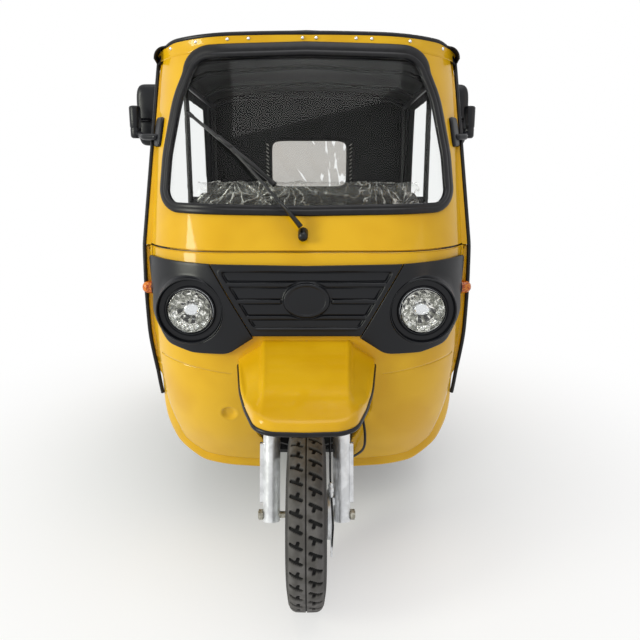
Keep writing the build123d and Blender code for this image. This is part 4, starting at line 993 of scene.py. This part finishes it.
def canopy_sheet():
    """Sections set one behind another, a rolled rear edge, and a back wall drawn in to the window opening.
    The cloth sags between the bows and its valances ripple."""
    station = np.concatenate([np.linspace(426, 640, 16), np.linspace(655, 1990, 74),
                              np.linspace(2000, 2060, 8),
                              np.linspace(2080, BACK - ROLL, 12)])
    hem = np.interp(station, (426, 500, 640, 760, 1995, 2060), (1636, 1624, 1602, 1580, 1580, 950))
    roll = np.linspace(0, np.pi / 2, 9)[1:]
    depth = np.concatenate([station, BACK - ROLL + ROLL * np.sin(roll)])
    hem = np.concatenate([hem, np.full(8, 950.0)])
    inwards = np.concatenate([0 * station, ROLL * (1 - np.cos(roll))])
    flat = roof_section(np.minimum(depth, BACK), hem, inwards)
    x, z = flat[..., 0], flat[..., 1]
    y = depth[:, None] + 0.1655 * np.abs(x) * (1 - smooth_step(depth, 426, 980))[:, None]
    top = smooth_step(z, 1640, 1675)
    bays = np.interp(depth, (426, 470, 900, 1055, 1500, 1900, 2240, 2330), (0, 0, 1, 2, 3, 4, 5, 5))[:, None]
    z = z - 9 * top * np.sin(np.pi * bays) ** 2 * (1 - (x / 640) ** 4)
    ripple = ridge_noise(y * 0.012, z * 0.006, 5, 2) - 0.6
    loose = (1 - top) * smooth_step(depth, 520, 800)[:, None] * (1 - smooth_step(depth, 2180, 2280))[:, None]
    x = x + np.sign(x) * (5 * ripple * loose - 2 * loose)
    shell = np.stack([x, y, z], -1)
    rim = shell[-1]
    bottom = straight(rim[-1], rim[0], 60)[1:-1]
    loop = np.vstack([rim, bottom])
    away = loop[:, (0, 2)] - (0, WINDOW_Z)
    hole = superellipse(away / np.linalg.norm(away, axis=1)[:, None], WINDOW_POWER, WINDOW)
    share = np.linspace(0, 1, 26)[:, None, None]
    back = (away * (1 - share) + hole * share) + (0, WINDOW_Z)
    slack = ridge_noise(back[..., 0] * 0.011, back[..., 1] * 0.007, 9, 2) - 0.6
    fade = np.sin(np.pi * share[..., 0]) ** 0.5
    wall = np.stack([back[..., 0], BACK - 2 + 7 * slack * fade - 2 * fade, back[..., 1]], -1)
    wall[0] = loop
    return [flipped(grid(shell)), flipped(grid(wall, close_v=True))], shell


canopy_parts, canopy_shell = canopy_sheet()
canopy = piece("canopy_cover", "chassis", canopy_parts, "canopy_cloth", ["canopy"], weld=1.0)
thicken(canopy, 1.6)
hem_paths = [canopy_shell[0] + (0, 2.5, 0), canopy_shell[:98, 0], canopy_shell[:98, -1]]
hem_roll = piece("canopy_hem", "chassis", [tube(path, 3.0, 10) for path in hem_paths], "canopy_cloth")
binding_hole = superellipse(circle(160), WINDOW_POWER, WINDOW)
binding_rows = [(-12, 3.5), (12, 3.5), (16, 0), (12, -3.5), (-12, -3.5), (-15, 0)]
binding_points = np.stack([
    np.insert(binding_hole * (1 + wide / 200) + (0, WINDOW_Z), 1, BACK - 3 + out, axis=1)
    for wide, out in binding_rows])
binding = piece("window_binding", "chassis", [grid(binding_points, close_u=True, close_v=True)],
                "canopy_cloth")
stitch_paths = [np.array([(side * (252 + lean), BACK - 8, WINDOW_Z + z),
                          (side * (259 + lean), BACK - 9.4, WINDOW_Z + z + 6),
                          (side * (266 + lean), BACK - 8, WINDOW_Z + z + 12)])
                for side in (-1, 1) for z, lean in zip(np.linspace(-120, 110, 11), (0, 3, 0, 2, 1) * 3)]
stitches = piece("window_stitches", "chassis", [tube(path, 1.5, 6) for path in stitch_paths], "clear_film",
                 paint=thread())


def window_sheet():
    """Flat sheet 516 by 316 mm, caught in its binding: slow ripples, slanted creases on one side and close
    hanging ones on the other. Returns the patch and how sharp the crease is at each point: its painted
    highlight."""
    x, z = np.meshgrid(np.linspace(-258, 258, 190), np.linspace(-158, 158, 88))
    edge = smooth_step(258 - np.abs(x), 0, 30) * smooth_step(158 - np.abs(z), 0, 30)
    slow = ridge_noise(x * 0.018 + z * 0.012, z * 0.004, 3, 2) - 0.6
    hanging = ridge_noise(x * 0.055, z * 0.012 + x * 0.01, 8, 3) * smooth_step(x, 20, 90)
    slanted = ridge_noise(x * 0.026 + z * 0.019, z * 0.005, 14, 2) * (1 - smooth_step(x, 20, 90))
    crease = np.maximum(smooth_step(hanging, 0.5, 0.66), smooth_step(slanted, 0.8, 0.9))
    points = np.stack([x, BACK - 3 + 3 * slow * edge - 2 * crease * edge, z + WINDOW_Z], -1)
    return grid(points), (crease * edge).ravel()


sheet_part, sheet_crease_highlight = window_sheet()
# the crease values become the window's painted highlight
window = piece("window_sheet", "chassis", [sheet_part], "clear_film", ["rear_window"], weld=0,
               attribute=("fold", sheet_crease_highlight))

# Packing film over the driver's backrest, crushed into sharp folds


FILM_COLUMNS = 420


def backrest_film():
    """Film laid over the top of the backrest: path up the front, over and down behind; folded waves across
    it, sharpest in the middle. Returns the patch and how sharp the fold is at each point, its painted
    highlight."""
    path = np.array([(939, 1086), (938, 1130), (938, 1172), (940, 1194), (950, 1206), (975, 1210),
                     (998, 1206),
                     (1012, 1196), (1016, 1170), (1020, 1140)], float)
    line = resampled(path, 92)
    tangent = np.gradient(line, axis=0)
    tangent /= np.linalg.norm(tangent, axis=1)[:, None]
    out = np.column_stack([-tangent[:, 1], tangent[:, 0]])
    x = np.linspace(-462, 462, FILM_COLUMNS)[None]
    along = np.linspace(0, 215, 92)[:, None]
    lean = along + 0.5 * np.abs(x - 40)
    fold = ridge_noise(x * 0.020 + lean * 0.018, lean * 0.034 - x * 0.012, 21, 4)
    amount = 2 + 12 * fold ** 1.5
    points = np.stack([x + 0 * along, line[:, :1] + out[:, :1] * amount, line[:, 1:] + out[:, 1:] * amount],
                      -1)
    middle = 0.25 + 0.75 * np.exp(-((x - 30) / 190) ** 2)
    gathers = 0.0
    for centre, start, reach, count, lean_by in ((-300, 112, 120, 9, 0.4), (-200, 60, 120, 11, -0.5),
                                                 (-80, 100, 120, 10, 0.9),
                                                 (270, 112, 130, 12, 0.7), (400, 40, 90, 7, -0.3)):
        away = np.hypot(x - centre, along - start)
        turn = np.arctan2(along - start, x - centre)
        rays = 1 - np.abs(np.sin(turn * count / 2 + lean_by * away / 30 + 2.2 * fold))
        gathers = np.maximum(gathers, smooth_step(rays, 0.66,
                                                  0.97) * (0.55 + 0.6 * fold) * np.exp(-(away / reach) ** 2))
    points[..., 2] += 5 * gathers
    points[..., 1] -= 5 * gathers
    # painted highlight: a bright line along the bend over the backrest's top
    over_top = 0.6 * np.exp(-((along - 120) / 4) ** 2)
    # sharp: how strongly the folds, gathers and top bend are painted as highlight, stronger in the middle
    sharp = smooth_step(fold, 0.68, 0.86) * (0.15 + 0.4 * middle) + gathers + over_top
    return flipped(grid(points)), np.clip(sharp, 0, 1).ravel()


def crushed_film():
    """Thin polyethylene packing film: clear where it lies flat, opaque white along its crushed folds as a
    painted highlight.
    """
    paint, tree, shader = finish("crushed_packing_film", "#FFFFFA", 0.2, 0.35, Specular_IOR_Level=1.0)
    fold = add(tree, "ShaderNodeAttribute", {"attribute_name": "fold"})
    speck = add(tree, "ShaderNodeMapRange", None, Value=grain(tree, 9.0, 3.0), i1=0.42, i2=0.6, i3=0.45,
                i4=1.0)
    seen = add(tree, "ShaderNodeMath", {"operation": "MULTIPLY"}, i0=fold.outputs["Fac"], i1=speck.outputs[0])
    # painted highlight: the folds turn opaque white
    alpha = add(tree, "ShaderNodeMapRange", None, Value=seen.outputs[0], i2=0.8, i3=0.06, i4=1.0)
    tree.links.new(alpha.outputs[0], shader.inputs["Alpha"])
    bump(tree, shader, grain(tree, 12.0, 3.0), 1.5)
    return paint


film_part, film_fold_highlight = backrest_film()
film = piece("packing_film", "chassis", [film_part], "clear_film", paint=crushed_film(), weld=0,
             attribute=("fold", film_fold_highlight))

# Header fold under the canopy's front edge, with its studs


def header_top(x):
    """Height of the arched header: nearly level in the middle, dropping towards the corners."""
    return 1690 - 12 * (x / 400) ** 2 - 26 * smooth_step(np.abs(x), 415, 520)


def header_fold():
    """Rows up the header's hollow face, which leans forward at its top, then back over its edge."""
    x = np.linspace(-497, 497, 240)
    top = header_top(x)
    low = 1689 - 37 * np.abs(x) / 492 - 22
    rows = [on_front(np.column_stack([x, low]), -0.5), on_front(np.column_stack([x, low + 0.5]), 1.0)]
    rows += [on_front(np.column_stack([x, low + (top - low) * share]), 1.0 + 10.0 * share ** 2)
             for share in (0.2, 0.4, 0.55, 0.7, 0.85, 1.0)]
    rows += [on_front(np.column_stack([x, top + 1.5]), 10.2), on_front(np.column_stack([x, top + 2.2]), -22)]
    return grid(np.stack(rows))


piece("header_fold", "chassis", [header_fold()], "yellow_enamel")


def edging_path():
    """The header's top edge from corner to corner, drawn down and back at its ends."""
    x = np.linspace(-508, 508, 180)
    drop = 26 * smooth_step(np.abs(x), 476, 508)
    flat = np.column_stack([x, header_top(np.clip(x, -500, 500)) + 3.5 - drop])
    return on_front(flat, 7.0 - 9.0 * smooth_step(np.abs(x), 440, 508), 270.0)


piece("header_edging", "chassis", [tube(edging_path(), 7.5, 14)], "black_rubber")


stud_rows = [(0, 4.8), (3.0, 4.2), (5.0, 2.4), (6.0, 0), (6.0, -2)]
studs = []
for x in (-442, -351, -249, -183, -13, 30, 156, 205, 326, 442):
    stud, faces = turned(stud_rows, (0, 0, 0), count=14)
    place = on_front(np.array([x, header_top(x) - 11.0]), 5.6)
    studs.append(((stud * (1, -1, 1)) @ screen_lean + place, faces))
studs = piece("header_studs", "chassis", studs, "mirror_silver")

# Seats: covers blown up by cloth simulation, then quilted


def shape_of(obj, mesh=None):
    """Vertex places of a mesh as an array, or of the object with its modifiers."""
    mesh = mesh or obj.data
    places = np.empty(len(mesh.vertices) * 3)
    mesh.vertices.foreach_get("co", places)
    return places.reshape(-1, 3)


def finished_mesh(obj):
    """A new mesh of the object as its modifiers leave it."""
    return bpy.data.meshes.new_from_object(obj.evaluated_get(bpy.context.evaluated_depsgraph_get()))


CUSHION_SHRINK, CUSHION_CELL, CUSHION_FILL = 0.010, 0.012, 0.8
CLOTH_PRESSURE, CLOTH_FRAMES = 4.0, 20


def stuffed(name, node, face, lines, cap=0.026):
    """Cushion from its solid: shrunk, remeshed in 12 mm cells, blown up as cloth at a pressure of 4 with no
    weight, held to its space, subdivided once, then sewn: dents along the quilting lines and a raised seam
    round the side."""
    work = bmesh.new()
    work.from_mesh(nodes[node].data)
    bmesh.ops.remove_doubles(work, verts=work.verts, dist=1e-5)
    mesh = bpy.data.meshes.new(name)
    work.to_mesh(mesh)
    work.free()
    low, high = (np.array(end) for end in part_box(node))
    middle = (low + high) / 2
    places = middle + (shape_of(None, mesh) - middle) * (1 - 2 * CUSHION_SHRINK / (high - low))
    mesh.vertices.foreach_set("co", places.ravel())
    pad = bpy.data.objects.new(name, mesh)
    bpy.context.scene.collection.objects.link(pad)
    cells = pad.modifiers.new("cells", "REMESH")
    cells.mode, cells.voxel_size = "VOXEL", CUSHION_CELL
    pad.data = finished_mesh(pad)
    pad.modifiers.remove(cells)
    rest = shape_of(pad)
    cloth = pad.modifiers.new("cloth", "CLOTH")
    cloth.settings.use_pressure = True
    cloth.settings.uniform_pressure_force = CLOTH_PRESSURE
    cloth.settings.effector_weights.gravity = 0.0
    cloth.settings.quality = 4
    cloth.point_cache.frame_start, cloth.point_cache.frame_end = 1, CLOTH_FRAMES
    for step in range(1, CLOTH_FRAMES + 1):
        bpy.context.scene.frame_set(step)
    blown = finished_mesh(pad)
    move = shape_of(None, blown) - rest
    length = np.linalg.norm(move, axis=1)[:, None]
    rest = rest + move * np.minimum(1, cap / np.maximum(length, 1e-9))
    pad.modifiers.remove(cloth)
    bpy.context.scene.frame_set(1)
    rest = np.clip(rest, low + (-0.004, -0.006, 0), high + (0.004, 0.006, 0.012))
    pad.data.vertices.foreach_set("co", rest.ravel())
    pad.data.update()
    round_off = pad.modifiers.new("round", "SUBSURF")
    round_off.levels = round_off.render_levels = 1
    pad.data = finished_mesh(pad)
    pad.modifiers.remove(round_off)
    places = shape_of(pad)
    normals = np.empty(len(pad.data.vertices) * 3)
    pad.data.vertices.foreach_get("normal", normals)
    normals = normals.reshape(-1, 3)
    relief = sewn((places - low) * 1000, (high - low) * 1000, normals, face, lines)
    places = places + normals * relief[:, None] * 0.001
    pad.data.vertices.foreach_set("co", places.ravel())
    pad.data.polygons.foreach_set("use_smooth", np.ones(len(pad.data.polygons), bool))
    pad.data.materials.clear()
    pad.data.materials.append(PAINT["seat_vinyl"])
    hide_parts(node)
    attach(pad, "chassis")


def sewn(places, size, normals, face, lines):
    """Dents along evenly spaced lines and a border line on one face, and a raised seam near that face's
    edge."""
    across, way, sign = (1, 2, 1) if face == "top" else (2, 1, -1)
    facing = smooth_step(sign * normals[:, way], 0.45, 0.85)
    pitch = size[0] / lines
    line = np.abs((places[:, 0] + pitch / 2) % pitch - pitch / 2)
    span = places[:, across] / size[across]
    reach = smooth_step(span, 0.10, 0.16) * (1 - smooth_step(span, 0.84, 0.90))
    dents = -8 * np.exp(-(line / 6.5) ** 2) * reach
    ends = np.minimum(np.abs(span - 0.13), np.abs(span - 0.87)) * size[across]
    dents = dents - 6 * np.exp(-(ends / 6.5) ** 2)
    depth = size[2] - places[:, 2] if face == "top" else places[:, 1]
    seam = 3.0 * np.exp(-((depth - 24) / 5) ** 2) * (1 - smooth_step(np.abs(normals[:, way]), 0.4, 0.75))
    return dents * facing + seam


stuffed("driver_seat_cushion", "driver_seat", "top", 6)
stuffed("driver_back_cushion", "driver_backrest", "front", 6, cap=0.022)
stuffed("passenger_seat_cushion", "passenger_seat", "top", 8)
stuffed("passenger_back_cushion", "passenger_backrest", "front", 8, cap=0.022)

# Mirrors: bracket on the cowl, bent arm, clamp block, rounded head with its glass


MIRROR_HALF = np.array([52.0, 107.0])
MIRROR_Z = 1464.0


def mirror_head(x, z):
    """Rounded slab: superellipse outline carried from the rim of the glass round to a crowned back."""
    oval = superellipse(circle(72), 5) * MIRROR_HALF
    rows = [(0.80, 676), (0.87, 678), (0.93, 681), (0.98, 680), (1.0, 675), (1.0, 664), (0.97, 655),
            (0.88, 648), (0.70, 644), (0.4, 642), (0.0, 641.5)]
    head, glass = (np.stack([np.insert(oval * share + (x, z), 1, station, axis=1) for share, station in part])
                   for part in (rows, [(share, 676.5) for share in (0.82, 0.4, 0.0)]))
    return grid(head, close_v=True), flipped(grid(glass, close_v=True))


def bracket():
    """Plate on the cowl's corner, 10 mm proud with rounded edges."""
    oval = superellipse(circle(64), 6)
    rows = []
    for share, out in ((1.0, -3), (1.0, 6), (0.96, 8.6), (0.88, 10), (0.5, 10.4), (0.0, 10.5)):
        flat = np.column_stack([482 + oval[:, 0] * 14 * share - oval[:, 1] * 6 * share,
                                1395 + oval[:, 1] * 47 * share])
        rows.append(on_front(flat, out))
    return grid(np.stack(rows), close_v=True)


mirror_parts, mirror_glass_parts = [], []
for side, x in ((1, 529), (-1, 562)):
    reach = x + 34
    foot = on_front(np.array([484.0, 1378.0]), 6.0)
    elbow = np.array([reach - 18, 545, 1392.0])
    path = resampled(np.vstack([foot, foot * 0.5 + elbow * 0.5 + (10, -26, -4), elbow, (reach, 560, 1398)]),
                     14)
    parts = [bracket(), tube(path, 10.5, 14),
             turned([(0, -6), (12, -6), (17, -2), (18.5, 2), (18.5, 26), (17.5, 28), (18.5, 30), (19.5, 34),
                     (19.5, 96),
                     (17, 101), (10, 103), (0, 103)], (0, 0, 0), count=28),
             tube(resampled(np.array([(reach, 566, 1440), (x + 10, 610, 1444), (x + 4, 646, 1446)], float),
                            8), 8, 12)]
    block, faces = parts[2]
    parts[2] = (block[:, (0, 2, 1)] + (reach, 562, 1386), faces[:, ::-1])
    head, glass = mirror_head(x, MIRROR_Z)
    parts.append(flipped(head))
    mirror_parts += parts if side > 0 else [mirrored(part) for part in parts]
    mirror_glass_parts.append(glass if side > 0 else mirrored(glass))
piece("mirror_bodies", "chassis", mirror_parts, "black_moulding", ["mirrors"])
piece("mirror_faces", "chassis", mirror_glass_parts, "mirror_silver", ["mirror_glasses"])

# Black rubber round the cab's edge, from the beading up to the roof

edge_line = rounded(CAB_OUTLINE)
edge_line = subdivided(np.vstack([edge_line[(edge_line[:, 1] > 520) & (edge_line[:, 1] < 1600)],
                                  [[499.0, 1658.0]]]), 12.0)
edge_path = on_front(edge_line, 0.0, 270.0) + (6, 6, 0)
piece("cab_edge_rubber", "chassis", both_sides([tube(edge_path, 6.5, 12)]), "black_rubber",
      ["door_edge_beading"])

# Black strip behind the joint of the upper and lower cowls, in the rubber paint: a dark sheet that paints the
# shade in the gap

joint_line = straight((-520, SEAM_Z), (520, SEAM_Z), 200)
joint_deep = 5.0 * smooth_step(np.abs(joint_line[:, 0]), 488, 500)
joint_rows = [(-12, -6.0), (12, -6.0), (12, -9), (-12, -9)]
# painted shade: the strip darkens the gap between the cowls
piece("cowl_joint_shade_strip", "chassis",
      [grid(np.stack([on_front(joint_line + (0, up), out - joint_deep, 270.0) for up, out in joint_rows]),
            close_u=True)], "black_rubber")

# Camera, light and floor

# The photograph's perspective: pixels of a 640 px picture, and the camera's place in metres, its distance
# taken from the front axle
PICTURE, FOCAL_PX, CENTRE_PX = 640, 623.2, (314.1, 301.9)
SENSOR = 36.0
CAMERA_X, CAMERA_AHEAD, CAMERA_HEIGHT = 0.0164, 1.6885, 1.309
CAMERA_DOWN, CAMERA_TURN = 12.9, -0.2

camera_data = bpy.data.cameras.new("camera")
camera = bpy.data.objects.new("camera", camera_data)
bpy.context.scene.collection.objects.link(camera)
bpy.context.scene.camera = camera
camera_data.sensor_width = SENSOR
camera_data.lens = FOCAL_PX / PICTURE * SENSOR
camera_data.shift_x = (PICTURE / 2 - CENTRE_PX[0]) / PICTURE
camera_data.shift_y = (CENTRE_PX[1] - PICTURE / 2) / PICTURE
camera_data.clip_end = 100.0
camera.location = (CAMERA_X, -CENTRE_STATION / 1000 - CAMERA_AHEAD, CAMERA_HEIGHT)
camera.rotation_euler = Euler((np.radians(90 - CAMERA_DOWN), 0, np.radians(CAMERA_TURN)))


def lamp(name, place, aim, size, watts, colour="#FFFFFF"):
    """Soft rectangular studio light."""
    data = bpy.data.lights.new(name, "AREA")
    data.shape = "RECTANGLE"
    data.size, data.size_y = size
    data.energy = watts
    data.color = linear(colour)[:3]
    obj = bpy.data.objects.new(name, data)
    bpy.context.scene.collection.objects.link(obj)
    obj.location = place
    obj.rotation_euler = (Vector(aim) - Vector(place)).to_track_quat("-Z", "Y").to_euler()


lamp("key", (-4.2, -3.2, 2.3), (0, -0.8, 0.8), (1.4, 2.2), 150, "#FDFFF0")
lamp("fill", (3.8, -3.2, 2.2), (0, -0.4, 0.9), (1.0, 2.2), 9, "#FFE0C0")
lamp("top", (0.3, -1.6, 4.6), (0, -0.6, 0.8), (3.0, 3.0), 55)
lamp("back", (1.5, 4.6, 3.0), (0, 0.6, 0.9), (3.0, 2.0), 120)


def backdrop_world():
    """Soft grey surround that lights the object; what the camera, gloss and glass see of it is white."""
    world = bpy.data.worlds.new("studio")
    bpy.context.scene.world = world
    world.use_nodes = True
    tree = world.node_tree
    tree.nodes.clear()
    rays = add(tree, "ShaderNodeLightPath")
    seen = add(tree, "ShaderNodeMath", {"operation": "MAXIMUM"}, i0=rays.outputs["Is Camera Ray"],
               i1=rays.outputs["Is Transmission Ray"])
    strength = add(tree, "ShaderNodeMapRange", None, Value=seen.outputs[0], i3=0.40, i4=1.0)
    glossy = add(tree, "ShaderNodeMath", {"operation": "MAXIMUM"}, i0=strength.outputs[0],
                 i1=rays.outputs["Is Glossy Ray"])
    light = add(tree, "ShaderNodeBackground", None, Color=linear("#FFFFFF"), Strength=glossy.outputs[0])
    add(tree, "ShaderNodeOutputWorld", None, Surface=light.outputs[0])


backdrop_world()

floor_mesh = bpy.data.meshes.new("studio_floor")
FLOOR = 6.0
floor_mesh.from_pydata([(-FLOOR, -FLOOR, 0), (FLOOR, -FLOOR, 0), (FLOOR, FLOOR, 0), (-FLOOR, FLOOR, 0)], [],
                       [(0, 1, 2, 3)])
studio_floor = bpy.data.objects.new("studio_floor", floor_mesh)
bpy.context.scene.collection.objects.link(studio_floor)


def pale_floor():
    """Matt white paper that fades into the white surround away from the vehicle."""
    paint, tree, shader = finish("matt_white_paper", "#F4F4F2", 0.9)
    place = add(tree, "ShaderNodeTexCoord").outputs["Object"]
    reach = add(tree, "ShaderNodeVectorMath", {"operation": "LENGTH"}, i0=place).outputs["Value"]
    fade = add(tree, "ShaderNodeMapRange", {"interpolation_type": "SMOOTHSTEP"}, Value=reach, i1=-0.4, i2=2.3)
    white = add(tree, "ShaderNodeEmission", None, Color=linear("#FFFFFF"), Strength=1.0)
    mix = add(tree, "ShaderNodeMixShader", None, i0=fade.outputs[0], i1=shader.outputs[0],
              i2=white.outputs[0])
    tree.links.new(mix.outputs[0], tree.nodes["Material Output"].inputs[0])
    return paint


floor_mesh.materials.append(pale_floor())

bpy.context.scene.view_settings.view_transform = "Standard"
